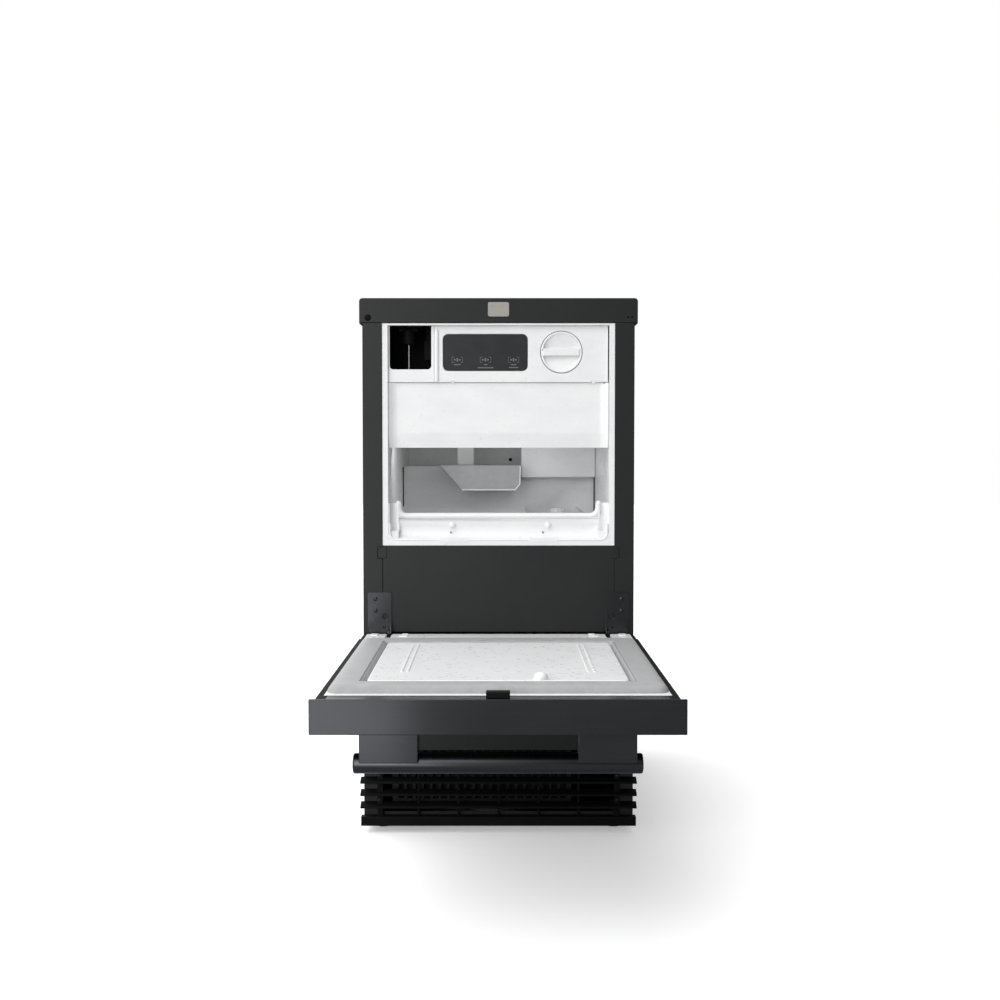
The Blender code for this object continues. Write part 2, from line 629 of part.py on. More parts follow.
def bin_liner():
    """White moulding: flange, sloped sill with its rail, bin and upper chamber."""
    wall = LINER_WALL
    face = FLANGE_SETBACK
    out = CAVITY_HALF + wall
    rail = (17.0, SILL_TOP - RAIL_RADIUS)
    floor_out = BIN_FLOOR - wall
    nose = [(rail[0] + RAIL_RADIUS * math.cos(t), rail[1] + RAIL_RADIUS * math.sin(t))
            for t in (math.radians(d) for d in range(250, 80, -30))]
    sill_foot = LINER_BOTTOM + 10.4
    slope = [(-10, sill_foot), (face + 1.5, sill_foot), *nose, (rail[0], SHOULDER_TOP + 10),
             (-10, SHOULDER_TOP + 10)]
    bin_side = [(SILL_BACK, BIN_FLOOR), (RAMP_START, BIN_FLOOR), (BIN_DEPTH, BIN_FLOOR + RAMP_RISE),
                (BIN_DEPTH, CEILING), (SILL_BACK, CEILING)]
    node("bin_liner", "white_plastic",
         block((-FLANGE_HALF, FLANGE_HALF), (face, face + wall), (LINER_BOTTOM, LINER_TOP)),
         add=[block((-out, out), (face + 1, BIN_DEPTH + wall), (floor_out, LINER_TOP)),
              block((-out, out), (BIN_DEPTH - 20, CHAMBER_DEPTH + wall), (LEDGE_HEIGHT - wall, LINER_TOP)),
              block((-out, out), (face + 1, SILL_BACK), (LINER_BOTTOM + 1, SHOULDER_TOP + 1))],
         cut=[prism(bin_side, "x", (-CAVITY_HALF, RAMP_END)),
              block((RAMP_END - 1, CAVITY_HALF), (SILL_BACK, BIN_DEPTH), (BIN_FLOOR, CEILING)),
              block((-CAVITY_HALF, CAVITY_HALF), (-10, SILL_BACK + 1), (SHOULDER_TOP, CEILING)),
              block((-SHOULDER_X, SHOULDER_X), (-10, SILL_BACK + 1), (SILL_TOP, SHOULDER_TOP + 1)),
              block((-CAVITY_HALF, CAVITY_HALF), (-10, face + 1.5), (sill_foot, SHOULDER_TOP + 1)),
              block((-CAVITY_HALF, CAVITY_HALF), (BIN_DEPTH - 1, CHAMBER_DEPTH), (LEDGE_HEIGHT, CEILING)),
              prism(slope, "x", (-SHOULDER_X, SHOULDER_X)),
              *[rod("z", (s * (SHOULDER_X + POCKET_RADIUS - 1), POCKET_RADIUS), POCKET_RADIUS,
                    (BIN_FLOOR - 2, SHOULDER_TOP + 5)) for s in (-1, 1)]])


def cabinet_insulation():
    """Foamed insulation round the liner."""
    fit = LINER_WALL + GAP
    half = HALF - SHEET - GAP
    out = CAVITY_HALF + fit
    node("cabinet_insulation", "foam",
         block((-half, half), (FLANGE_SETBACK + LINER_WALL + GAP, CHAMBER_DEPTH + 30),
               (LINER_BOTTOM, CABINET_HEIGHT - 3.8 - SHEET - GAP)),
         cut=[block((-out, out), (-10, BIN_DEPTH + fit), (BIN_FLOOR - fit, LINER_TOP + GAP)),
              block((-out, out), (BIN_DEPTH - 5, CHAMBER_DEPTH + fit), (LEDGE_HEIGHT - fit, LINER_TOP + GAP)),
              block((-out, out), (-10, SILL_BACK + GAP), (LINER_BOTTOM - 10, BIN_FLOOR)),
              rod("z", DRAIN, 10, (LINER_BOTTOM - 10, BIN_FLOOR))])


FILTER_X = CAVITY_HALF - FILTER_INSET
FILTER_Z = CAP_BOTTOM - 46.3
DISPLAY_LEFT = -CAVITY_HALF + 89.0
DISPLAY_Z = (CAP_BOTTOM - 76.3, CAP_BOTTOM - 76.3 + DISPLAY_HEIGHT)
BEZEL_Y = (7.6, 10.6)
BAY_X = (-CAVITY_HALF + 2.9, -CAVITY_HALF + 2.9 + PUMP_BAY_WIDTH)
BAY_FLOOR = CAP_BOTTOM - 74.0
BEZEL_LEFT = BAY_X[1] + 4.9


def bezels():
    """Control bezel with its display and board, and the frame of the pump bay."""
    display_x = (DISPLAY_LEFT, DISPLAY_LEFT + DISPLAY_WIDTH)
    window = rounded((display_x[0] - GAP, display_x[1] + GAP), (DISPLAY_Z[0] - GAP, DISPLAY_Z[1] + GAP), 8.3)
    z = (BEZEL_BOTTOM, CEILING - GAP)
    board = BEZEL_Y[1] + 6
    node("control_bezel", "white_plastic", block((BEZEL_LEFT, CAVITY_FIT), BEZEL_Y, z),
         add=[block((BEZEL_LEFT, CAVITY_FIT), (BEZEL_Y[0] + 1, 40), (z[0], z[0] + 2.5)),
              block((BEZEL_LEFT, BEZEL_LEFT + 2.5), (BEZEL_Y[0] + 1, 40), z)],
         cut=[prism(window, "y", (0, 20)), rod("y", (FILTER_X, FILTER_Z), FILTER_RADIUS + 1, (0, 20), 32)])
    node("display_glass", "glass_black",
         prism(rounded(display_x, DISPLAY_Z, 8), "y", (BEZEL_Y[0] - 0.4, BEZEL_Y[1] - 0.5)))
    node("control_board", "board_green",
         block((display_x[0] + 4, display_x[1] - 4), (board, board + 1.6), (DISPLAY_Z[0] + 4, DISPLAY_Z[1] - 4)),
         add=[block((display_x[0] + 12 + 30 * i, display_x[0] + 26 + 30 * i), (board + 1, board + 8),
                    (DISPLAY_Z[0] + 20, DISPLAY_Z[0] + 34)) for i in range(3)])
    frame = [(-CAVITY_FIT, z[0]), (BEZEL_LEFT - GAP, z[0]), (BEZEL_LEFT - GAP, z[1]), (BAY_X[1], z[1]),
             (BAY_X[1], BAY_FLOOR), (BAY_X[0], BAY_FLOOR), (BAY_X[0], z[1]), (-CAVITY_FIT, z[1])]
    node("pump_bay_bezel", "white_plastic", prism(frame, "y", BEZEL_Y))


PUMP = (BAY_X[0] + 28.8, 42.0)     # pump axis, x and y
PAN_Z = (BEZEL_BOTTOM - 54, BEZEL_BOTTOM - 34)
PAN_Y = (24.0, 96.0)
SHAFT_RADIUS = 1.6


def pump():
    """Black pump bay, motor, and the long shaft down to the impeller in the water pan."""
    wall = 1.5
    x = (BAY_X[0] - wall, BAY_X[1] + wall)
    z = (BAY_FLOOR - wall, CEILING - GAP)
    y = (BEZEL_Y[1] + GAP, 95.0)
    node("pump_bay", "black_plastic", block(x, y, z),
         cut=[block(BAY_X, (-10, y[1] - wall), (BAY_FLOOR, z[1] - wall)),
              rod("z", PUMP, SHAFT_RADIUS + 1.5, (z[0] - 5, BAY_FLOOR + 5), 12)])
    motor_z = (z[1] - wall - 26, z[1] - wall - GAP)
    node("pump_motor", "black_plastic", rod("z", PUMP, 12, (motor_z[0], motor_z[1] - 3), 20),
         add=[block((PUMP[0] - 16, PUMP[0] + 16), (PUMP[1] - 8, PUMP[1] + 8), (motor_z[1] - 5, motor_z[1]))])
    bottom = PAN_Z[0] + 2 + GAP
    node("pump_housing", "black_plastic", rod("z", PUMP, 16, (bottom, PAN_Z[1]), 20),
         cut=[rod("z", PUMP, 14.3, (bottom + 1.5, PAN_Z[1] + 5), 20)])
    impeller_z = (bottom + 2.5, bottom + 9.5)
    vanes = [block((PUMP[0] - 12.5, PUMP[0] + 12.5), (PUMP[1] - 0.8, PUMP[1] + 0.8), impeller_z),
             block((PUMP[0] - 0.8, PUMP[0] + 0.8), (PUMP[1] - 12.5, PUMP[1] + 12.5), impeller_z)]
    rotor = node("pump_rotor", "steel",
                 rod("z", PUMP, 4, (impeller_z[0] + 0.5, impeller_z[1] + 1), 12),
                 add=[rod("z", PUMP, SHAFT_RADIUS, (impeller_z[1], motor_z[0] - GAP), 12), *vanes])
    hang("pump_axis", (PUMP[0], PUMP[1], impeller_z[0]), [rotor])


FILTER_LENGTH = 250.0
CAP_Y = (BEZEL_Y[0] - 1, BEZEL_Y[0] + 12)
GRIP_HALF = (FILTER_RADIUS - 4.8, 7.0)


def water_filter():
    """Quarter-turn filter: cap and cartridge turn together inside a fixed housing."""
    axis = (FILTER_X, FILTER_Z)
    grip = block((FILTER_X - GRIP_HALF[0], FILTER_X + GRIP_HALF[0]), (CAP_Y[0] - 1, CAP_Y[0] + 5),
                 (FILTER_Z - GRIP_HALF[1], FILTER_Z + GRIP_HALF[1]))
    cap = node("filter_cap", "white_plastic", rod("y", axis, FILTER_RADIUS, CAP_Y, 32), add=[grip])
    outside = FILTER_RADIUS - 2.8
    inside = outside - 2.5
    cartridge = node("filter_cartridge", "white_plastic",
                     rod("y", axis, inside - 1.5, (CAP_Y[1] + GAP, FILTER_LENGTH), 20))
    hang("filter_axis", (FILTER_X, CAP_Y[0], FILTER_Z), [cap, cartridge])
    node("filter_housing", "grey_plastic", rod("y", axis, outside, (CAP_Y[1] + 4, FILTER_LENGTH + 8), 20),
         cut=[rod("y", axis, inside, (-10, FILTER_LENGTH + 4), 20)])


PLATE_X = CAVITY_HALF - 28
PLATE_Y = (100.0, 360.0)
PLATE_TILT = math.radians(7.5)
PLATE_FRONT_Z = BEZEL_BOTTOM - 30
GRID_Y = (30.0, 285.0)
GRID_FRONT_Z = COVER_BOTTOM + 22


def tilted(bm, y, z):
    """Tilts a flat piece up towards the back about its front edge."""
    centre = Vector((0, y, z))
    bmesh.ops.rotate(bm, cent=centre, matrix=Matrix.Rotation(PLATE_TILT, 3, "X"), verts=bm.verts)
    return bm


def ice_works():
    """Freezing plate with its coil, cutter grid, water pan, and the tube that floods the plate."""
    node("evaporator_plate", "steel",
         tilted(block((-PLATE_X, PLATE_X), PLATE_Y, (PLATE_FRONT_Z, PLATE_FRONT_Z + 3)),
                PLATE_Y[0], PLATE_FRONT_Z))
    passes = 6
    corners = []
    for i in range(passes):
        y = PLATE_Y[0] + 20 + i * (PLATE_Y[1] - PLATE_Y[0] - 40) / (passes - 1)
        z = PLATE_FRONT_Z - 6 + (y - PLATE_Y[0]) * math.tan(PLATE_TILT)
        ends = (-PLATE_X + 15, PLATE_X - 15)
        for x in (ends if i % 2 == 0 else ends[::-1]):
            corners.append((x, y, z))
    pipe("evaporator_coil", "copper", filleted(corners, 15, 3), 4)
    pitch = 36.0
    columns = int((2 * PLATE_X - 12) // pitch)
    rows = int((GRID_Y[1] - GRID_Y[0] - 12) // pitch)
    across = (2 * PLATE_X - 12) / columns
    along = (GRID_Y[1] - GRID_Y[0] - 12) / rows
    holes = []
    for i in range(columns):
        for j in range(rows):
            x = -PLATE_X + 6 + i * across
            y = GRID_Y[0] + 6 + j * along
            hole = block((x + 1, x + across - 1), (y + 1, y + along - 1), (GRID_FRONT_Z - 5, GRID_FRONT_Z + 10))
            holes.append(tilted(hole, GRID_Y[0], GRID_FRONT_Z))
    cutter = bmesh.new()
    for hole in holes:
        scratch = bpy.data.meshes.new("hole")
        hole.to_mesh(scratch)
        cutter.from_mesh(scratch)
        bpy.data.meshes.remove(scratch)
        hole.free()
    node("cutter_grid", "steel",
         tilted(block((-PLATE_X, PLATE_X), GRID_Y, (GRID_FRONT_Z, GRID_FRONT_Z + 4)), GRID_Y[0], GRID_FRONT_Z),
         cut=[cutter])
    pan_x = (-CAVITY_HALF + 2, PLATE_X)
    node("water_pan", "white_plastic", block(pan_x, PAN_Y, PAN_Z),
         cut=[block((pan_x[0] + 2, pan_x[1] - 2), (PAN_Y[0] + 2, PAN_Y[1] - 2), (PAN_Z[0] + 2, PAN_Z[1] + 5))])
    tube_z = PLATE_FRONT_Z + (PLATE_Y[1] - PLATE_Y[0]) * math.tan(PLATE_TILT) + 18
    tube_y = PLATE_Y[1] - 12
    start = (PUMP[0], PUMP[1] + 16 + GAP + 5, PAN_Z[1] + 6)
    hose_x = -CAVITY_HALF + 9
    route = [start, (hose_x, start[1] + 2, start[2] + 2), (hose_x, 150, start[2] + 20),
             (hose_x, tube_y, tube_z), (PLATE_X, tube_y, tube_z)]
    pipe("water_tube", "white_plastic", filleted(route, 8, 3), 5)


def evaporator_cover():
    """White cover under the controls, folded back at its lower edge."""
    top = BEZEL_BOTTOM - 2 * GAP
    fold = COVER_BOTTOM + 21
    front = BEZEL_Y[0] + 4.4
    outline = [(front, top), (front, fold), (front + 4, COVER_BOTTOM), (front + 20, COVER_BOTTOM + 1),
               (front + 20, COVER_BOTTOM + 3.5), (front + 6.8, COVER_BOTTOM + 2.8), (front + 3, fold + 0.5),
               (front + 3, top)]
    node("evaporator_cover", "white_plastic", prism(outline, "x", (-CAVITY_FIT, CAVITY_FIT)))


DRAIN = (108.0, BIN_DEPTH - 30)    # drain axis, x and y


DRAIN_CAP_RADIUS = 12.0
DRAIN_CAP_HEIGHT = 22.0
SCOOP_X = (-105.0, 39.5)
SCOOP_BOTTOM_X = (-66.0, 30.0)
SCOOP_DROP = 42.0              # scoop's bowl below its ledge
SCOOP_DEPTH = 70.0
SCOOP_WALL = 2.5
RIM = 3.0


def bin_fittings():
    """Scoop on its ledge, drain cap, rear duct cover and the thermostat's housing."""
    scoop_y = (BIN_DEPTH - 2 - SCOOP_DEPTH, BIN_DEPTH - 2)
    top = LEDGE_HEIGHT + GAP + RIM
    bottom = LEDGE_HEIGHT - SCOOP_DROP
    wall = SCOOP_WALL
    left, right = SCOOP_X
    low_left, low_right = SCOOP_BOTTOM_X
    bend = (right - 1.5, bottom + 10)
    outside = [(left, top), (low_left, bottom), (low_right, bottom), bend, (right, top)]
    inside = [(left + 2 * wall, top + 5), (low_left + wall, bottom + wall), (low_right - wall, bottom + wall),
              (bend[0] - wall, bend[1] + wall), (right - wall, top + 5)]
    scoop = node("ice_scoop", "white_plastic", prism(outside, "y", scoop_y),
                 add=[block(SCOOP_X, (scoop_y[1] - 1, BIN_DEPTH + 14), (top - RIM, top))],
                 cut=[prism(inside, "y", (scoop_y[0] + wall, scoop_y[1] - wall))])
    hang("scoop_axis", (-30, BIN_DEPTH, top), [scoop])
    span = (BIN_FLOOR + GAP, BIN_FLOOR + DRAIN_CAP_HEIGHT)
    ribs = [rod("z", rib, 1.2, (span[0], span[1] - 2), 6) for rib in circle(DRAIN, DRAIN_CAP_RADIUS, 12)]
    node("drain_cap", "white_plastic", rod("z", DRAIN, DRAIN_CAP_RADIUS, span, 24), add=ribs)
    node("rear_duct_cover", "white_plastic",
         block((41, CAVITY_FIT), (BIN_DEPTH - 24, BIN_DEPTH - GAP), (LEDGE_HEIGHT - 19.6, COVER_BOTTOM + 25)))
    node("thermostat_housing", "white_plastic",
         block((-78, -46), (BIN_DEPTH + 18, BIN_DEPTH + 40), (LEDGE_HEIGHT + GAP, COVER_BOTTOM + 20)))


# ---------------------------------------------------------------- machine compartment

COMPRESSOR = (70.0, 420.0)     # compressor's axis, x and y
COMPRESSOR_RADIUS = 60.0
COMPRESSOR_HEIGHT = 145.0
COMPRESSOR_LEG = 55.0          # rubber mounts out from its axis
CONDENSER_X = (-175.0, 120.0)
CONDENSER_Z = (25.0, 230.0)
FAN = ((CONDENSER_X[0] + CONDENSER_X[1]) / 2, (CONDENSER_Z[0] + CONDENSER_Z[1]) / 2)


def refrigeration():
    """Compressor, condenser and refrigerant lines."""
    x, y = COMPRESSOR
    deck = SHEET + GAP
    radius = COMPRESSOR_RADIUS
    top = deck + COMPRESSOR_HEIGHT
    dome = [(0, deck + 20), (radius - 10, deck + 20), (radius, deck + 34), (radius, top - 45),
            (radius - 8, top - 17), (radius / 2 - 2, top - 3), (0, top)]
    legs = [rod("z", (x + i * COMPRESSOR_LEG, y + j * COMPRESSOR_LEG), 8, (deck, deck + 17), 12)
            for i in (-1, 1) for j in (-1, 1)]
    node("compressor", "black_paint", turned(dome, x, y),
         add=[block((x - radius - 4, x + radius + 4), (y - radius - 4, y + radius + 4), (deck + 16, deck + 21)),
              *legs])
    fins = bmesh.new()
    pitch = 14.0
    count = int((CONDENSER_X[1] - CONDENSER_X[0] - 12) // pitch)
    for i in range(count):
        left = CONDENSER_X[0] + 8 + i * pitch
        size = Matrix.Diagonal((pitch - 4, 40, CONDENSER_Z[1] - CONDENSER_Z[0] - 20, 1))
        middle = Matrix.Translation((left + pitch / 2, 40, (CONDENSER_Z[0] + CONDENSER_Z[1]) / 2))
        bmesh.ops.create_cube(fins, size=1, matrix=middle @ size)
    node("condenser", "black_paint", block(CONDENSER_X, (25, 68), CONDENSER_Z), cut=[fins])
    rear = CHAMBER_DEPTH + 55
    pipe("suction_line", "copper",
         filleted([(x - 30, y + 20, 172), (x - 30, y + 20, 260), (x - 30, rear, 260),
                   (x - 30, rear, 660), (x - 30, CHAMBER_DEPTH + 30 + GAP, 660)], 18), 4)
    pipe("discharge_line", "copper",
         filleted([(x, y, top + GAP), (x, y, 300), (x, 200, 300), (CONDENSER_X[1] + 15, 46, 300),
                   (CONDENSER_X[1] + 15, 46, 215), (CONDENSER_X[1] + GAP, 46, 215)], 8), 3.2)


FAN_RADIUS = 84.0
HUB_RADIUS = 22.0
FAN_Y = (76.0, 98.0)
BLADES = 5
BLADE_HALF = 20.0
BLADE_PITCH = math.radians(22)


def condenser_fan():
    """Shroud, five-bladed fan and its motor on a strap."""
    x, z = FAN
    radius = FAN_RADIUS
    middle = (x, sum(FAN_Y) / 2 - 1, z)
    node("fan_shroud", "black_plastic", block(CONDENSER_X, (68 + GAP, 71), CONDENSER_Z),
         add=[rod("y", FAN, radius + 4, (70, 92), 32)], cut=[rod("y", FAN, radius, (50, 110), 32)])
    blades = []
    for i in range(BLADES):
        blade = block((x + HUB_RADIUS - 8, x + radius - 4), (middle[1] - 1, middle[1] + 1),
                      (z - BLADE_HALF, z + BLADE_HALF))
        bmesh.ops.rotate(blade, cent=middle, matrix=Matrix.Rotation(BLADE_PITCH, 3, "X"), verts=blade.verts)
        bmesh.ops.rotate(blade, cent=middle, matrix=Matrix.Rotation(math.tau * i / BLADES, 3, "Y"),
                         verts=blade.verts)
        blades.append(blade)
    fan = node("fan_blade", "grey_plastic", rod("y", FAN, HUB_RADIUS, FAN_Y, 20), add=blades)
    hang("fan_axis", middle, [fan])
    strap = [block((x - radius - 12, x + radius + 12), (118, 121), (z - 8, z + 8))]
    for side in (-1, 1):
        leg = x + side * (radius + 10.5)
        strap.append(block((leg - 1.5, leg + 1.5), (71 + GAP, 120), (z - 8, z + 8)))
    node("fan_motor", "galvanised", rod("y", FAN, 30, (104, 150), 20),
         add=[rod("y", FAN, 5, (FAN_Y[1] + GAP, 106), 12), *strap])


def services():
    """Water valve, junction box with its cord gland, and drain tube."""
    back = CABINET_DEPTH - SHEET
    x, z = INLET
    node("water_valve", "grey_plastic", block((x - 18, x + 18), (back - 50, back - 12), (z - 16, z + 16)),
         add=[rod("y", INLET, INLET_RADIUS, (back - 15, CABINET_DEPTH), 16),
              rod("z", (x, back - 31), 13, (z + 14, z + 46), 16)])
    x, z = GLAND
    node("junction_box", "galvanised", block((x - 40, x + 40), (back - 62, back - 14), (z - 32, z + 38)),
         add=[rod("y", GLAND, GLAND_RADIUS, (back - 16, CABINET_DEPTH), 16)],
         cut=[rod("y", GLAND, 4, (back - 10, CABINET_DEPTH + 5), 12)])
    x, y = DRAIN
    pipe("drain_tube", "grey_plastic",
         filleted([(x, y, BIN_FLOOR - LINER_WALL - GAP), (x, y, 340), (-60, y, 320), (-60, y, 40),
                   (-60, back - 2, 40)], 20), 7)


def build():
    """The whole ice maker."""
    for old in list(bpy.data.objects):
        bpy.data.objects.remove(old)
    cabinet_shell()
    top_cap()
    base_pan()
    levelling_feet()
    back_panel()
    kick_grille()
    access_panel()
    lower_front_panel()
    door = [hinge(-1, "left"), hinge(1, "right"), door_skin(), door_frame(),
            *door_liner(), door_gasket(), *door_hardware()]
    hang("door_axis", (0, PIVOT_Y, PIVOT_Z), door)
    bin_liner()
    cabinet_insulation()
    bezels()
    pump()
    water_filter()
    ice_works()
    evaporator_cover()
    bin_fittings()
    refrigeration()
    condenser_fan()
    services()


build()
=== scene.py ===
"""Looks of an undercounter clear-ice maker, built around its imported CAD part.

Shapes are worked out in millimetres in the cabinet's own frame: x to the right, y back
from the front columns, z up from the cabinet's underside.  CABINET takes them to the
row's frame in metres.
"""

import json
import math

import bmesh
import bpy
from mathutils import Matrix, Vector


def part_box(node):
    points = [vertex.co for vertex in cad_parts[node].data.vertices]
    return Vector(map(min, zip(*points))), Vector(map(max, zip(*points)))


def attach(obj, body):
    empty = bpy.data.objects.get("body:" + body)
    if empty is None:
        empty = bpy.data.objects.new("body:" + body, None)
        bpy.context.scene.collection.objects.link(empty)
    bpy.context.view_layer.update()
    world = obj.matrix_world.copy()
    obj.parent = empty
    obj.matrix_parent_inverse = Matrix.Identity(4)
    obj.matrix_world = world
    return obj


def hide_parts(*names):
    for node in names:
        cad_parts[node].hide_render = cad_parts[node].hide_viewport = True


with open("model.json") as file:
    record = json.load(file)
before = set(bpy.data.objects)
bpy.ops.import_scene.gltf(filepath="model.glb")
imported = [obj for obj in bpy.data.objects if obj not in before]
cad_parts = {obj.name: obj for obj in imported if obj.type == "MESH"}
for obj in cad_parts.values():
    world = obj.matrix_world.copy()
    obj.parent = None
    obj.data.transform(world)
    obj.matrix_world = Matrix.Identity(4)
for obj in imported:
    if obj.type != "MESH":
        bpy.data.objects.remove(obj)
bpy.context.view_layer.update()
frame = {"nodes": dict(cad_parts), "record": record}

MM = 0.001
shell_low, shell_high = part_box("cabinet_shell")
CABINET = Matrix.Translation((0, shell_low.y, shell_low.z)) @ Matrix.Scale(MM, 4)
BODIES = frame["record"]["behaviour"]["bodies"]
NODE_BODY = {node: body for body, nodes in BODIES.items() for node in nodes}
NODE_SLOT = {part["node"]: part["material_slot"] for part in frame["record"]["subparts"]}


def span(node):
    """The node's (low, high) pairs along x, y and z, in cabinet millimetres."""
    low, high = (CABINET.inverted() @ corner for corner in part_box(node))
    return [(low[i], high[i]) for i in range(3)]


def around(middle, half):
    """The (low, high) pair that reaches half either side of middle."""
    return middle - half, middle + half


# ---------------------------------------------------------------- finishes

UNIT = 1000     # a pattern's size in millimetres where stretched() has set its lengths already

def linear(hex_colour):
    """Linear RGBA of an sRGB hex value."""
    channels = [int(hex_colour[i:i + 2], 16) / 255 for i in (1, 3, 5)]
    return [c / 12.92 if c <= 0.04045 else ((c + 0.055) / 1.055) ** 2.4 for c in channels] + [1.0]


def add(tree, kind, settings, inputs):
    """A node with its settings; each input is a value or a socket to link from."""
    made = tree.nodes.new(kind)
    for key, value in settings.items():
        setattr(made, key, value)
    for key, value in inputs.items():
        if isinstance(value, bpy.types.NodeSocket):
            tree.links.new(value, made.inputs[key])
        else:
            made.inputs[key].default_value = value
    return made


def finish(name, metallic=0.0, roughness=0.4, **sockets):
    """A named material with constants on its shader; returns it, its tree, shader and coordinates."""
    made = bpy.data.materials.new(name)
    made.use_nodes = True
    tree = made.node_tree
    shader = tree.nodes["Principled BSDF"]
    shader.inputs["Metallic"].default_value = metallic
    shader.inputs["Roughness"].default_value = roughness
    for key, value in sockets.items():
        shader.inputs[key.replace("_", " ")].default_value = value
    where = tree.nodes.new("ShaderNodeTexCoord").outputs["Object"]
    return made, tree, shader, where


def stretched(tree, where, x, y, z):
    """Coordinates scaled so that one unit is the given length in millimetres along each axis."""
    scale = (1 / (x * MM), 1 / (y * MM), 1 / (z * MM))
    return add(tree, "ShaderNodeMapping", {}, {"Vector": where, "Scale": scale}).outputs["Vector"]


def two_tone(tree, amount, dark, light, low=0.3, high=0.7):
    """A colour between two hex values, driven by amount."""
    ramp = add(tree, "ShaderNodeValToRGB", {}, {"Fac": amount})
    ramp.color_ramp.elements[0].position = low
    ramp.color_ramp.elements[0].color = linear(dark)
    ramp.color_ramp.elements[1].position = high
    ramp.color_ramp.elements[1].color = linear(light)
    return ramp.outputs["Color"]


def between(tree, amount, low, high):
    """amount, 0 to 1, mapped to low to high."""
    mapped = add(tree, "ShaderNodeMapRange", {}, {"Value": amount, "To Min": low, "To Max": high})
    return mapped.outputs["Result"]


def relief(tree, shader, height, depth_mm, strength=1.0):
    """Bump of the given depth in millimetres."""
    bump = add(tree, "ShaderNodeBump", {},
               {"Height": height, "Distance": depth_mm * MM, "Strength": strength})
    tree.links.new(bump.outputs["Normal"], shader.inputs["Normal"])


def grain(tree, where, size_mm, detail=3.0, rough=0.5):
    """Noise whose features are size_mm across."""
    noise = add(tree, "ShaderNodeTexNoise", {},
                {"Vector": where, "Scale": 1 / (size_mm * MM), "Detail": detail, "Roughness": rough})
    return noise.outputs["Fac"]


def powder_coated_steel():
    """Satin black polyester powder: a soft orange peel breaks up the gloss."""
    made, tree, shader, where = finish("powder_coated_steel", roughness=0.4, IOR=1.4)
    cloud = grain(tree, where, 60, 2)
    peel = grain(tree, where, 1.6, 2)
    tree.links.new(two_tone(tree, cloud, "#141516", "#18191a"), shader.inputs["Base Color"])
    tree.links.new(between(tree, peel, 0.34, 0.46), shader.inputs["Roughness"])
    relief(tree, shader, peel, 0.03, 0.5)
    return made


def black_stainless():
    """Dark coated stainless, brushed along its length: fine streaks spread the light across them."""
    made, tree, shader, where = finish("black_stainless", metallic=1.0, roughness=0.32, Anisotropic=0.7)
    across = add(tree, "ShaderNodeTangent", {"direction_type": "RADIAL", "axis": "X"}, {}).outputs["Tangent"]
    tree.links.new(across, shader.inputs["Tangent"])
    # real brush marks are about 0.05 mm wide; these are 0.5 mm so that they show
    marks = grain(tree, stretched(tree, where, 90, 0.5, 0.5), UNIT, 4, 0.65)
    cloud = grain(tree, where, 90, 1)
    tint = two_tone(tree, marks, "#3b3c3e", "#494a4d", 0.25, 0.75)
    shade = add(tree, "ShaderNodeMix", {"data_type": "RGBA", "blend_type": "MULTIPLY"},
                {"Factor": 0.25, "A": tint, "B": two_tone(tree, cloud, "#d8d8d8", "#ffffff")})
    tree.links.new(shade.outputs["Result"], shader.inputs["Base Color"])
    tree.links.new(between(tree, marks, 0.18, 0.3), shader.inputs["Roughness"])
    relief(tree, shader, marks, 0.01, 0.3)
    return made


def moulded_black_abs():
    """Black ABS from a spark-eroded mould: an even, dull grain."""
    made, tree, shader, where = finish("moulded_black_abs", roughness=0.62, IOR=1.36,
                                       Specular_IOR_Level=0.2)
    pebble = grain(tree, where, 1.2, 3)
    cloud = grain(tree, where, 40, 1)
    tree.links.new(two_tone(tree, cloud, "#070708", "#0b0b0c"), shader.inputs["Base Color"])
    tree.links.new(between(tree, pebble, 0.55, 0.72), shader.inputs["Roughness"])
    relief(tree, shader, pebble, 0.02, 0.6)
    return made


def moulded_white_abs():
    """Glossy white ABS: its tone and gloss vary slightly where the melt flowed."""
    made, tree, shader, where = finish("moulded_white_abs", roughness=0.28, IOR=1.53)
    flow = grain(tree, stretched(tree, where, 60, 60, 25), UNIT, 2)
    tree.links.new(two_tone(tree, flow, "#ecedee", "#f2f3f3"), shader.inputs["Base Color"])
    tree.links.new(between(tree, grain(tree, where, 8, 2), 0.24, 0.34), shader.inputs["Roughness"])
    return made


def vinyl_seal():
    """Soft grey vinyl: matt, with a faint bloom and fine lengthways drag lines."""
    made, tree, shader, where = finish("vinyl_seal", roughness=0.5, IOR=1.5, Sheen_Weight=0.15)
    bloom = grain(tree, where, 14, 3)
    tree.links.new(two_tone(tree, bloom, "#999b9c", "#a5a7a7"), shader.inputs["Base Color"])
    tree.links.new(between(tree, bloom, 0.42, 0.58), shader.inputs["Roughness"])
    relief(tree, shader, grain(tree, where, 2.0, 2), 0.03, 0.4)
    return made


def galvanised_sheet():
    """Hot-dip zinc: flat crystals a few millimetres across, each a slightly different grey."""
    made, tree, shader, where = finish("galvanised_sheet", metallic=0.9, roughness=0.42)
    spangle = add(tree, "ShaderNodeTexVoronoi", {}, {"Vector": where, "Scale": 1 / (7 * MM)})
    level = add(tree, "ShaderNodeSeparateColor", {}, {"Color": spangle.outputs["Color"]}).outputs["Red"]
    tree.links.new(two_tone(tree, level, "#8f9497", "#b4b9bb", 0.0, 1.0), shader.inputs["Base Color"])
    tree.links.new(between(tree, level, 0.34, 0.52), shader.inputs["Roughness"])
    relief(tree, shader, level, 0.01, 0.4)
    return made


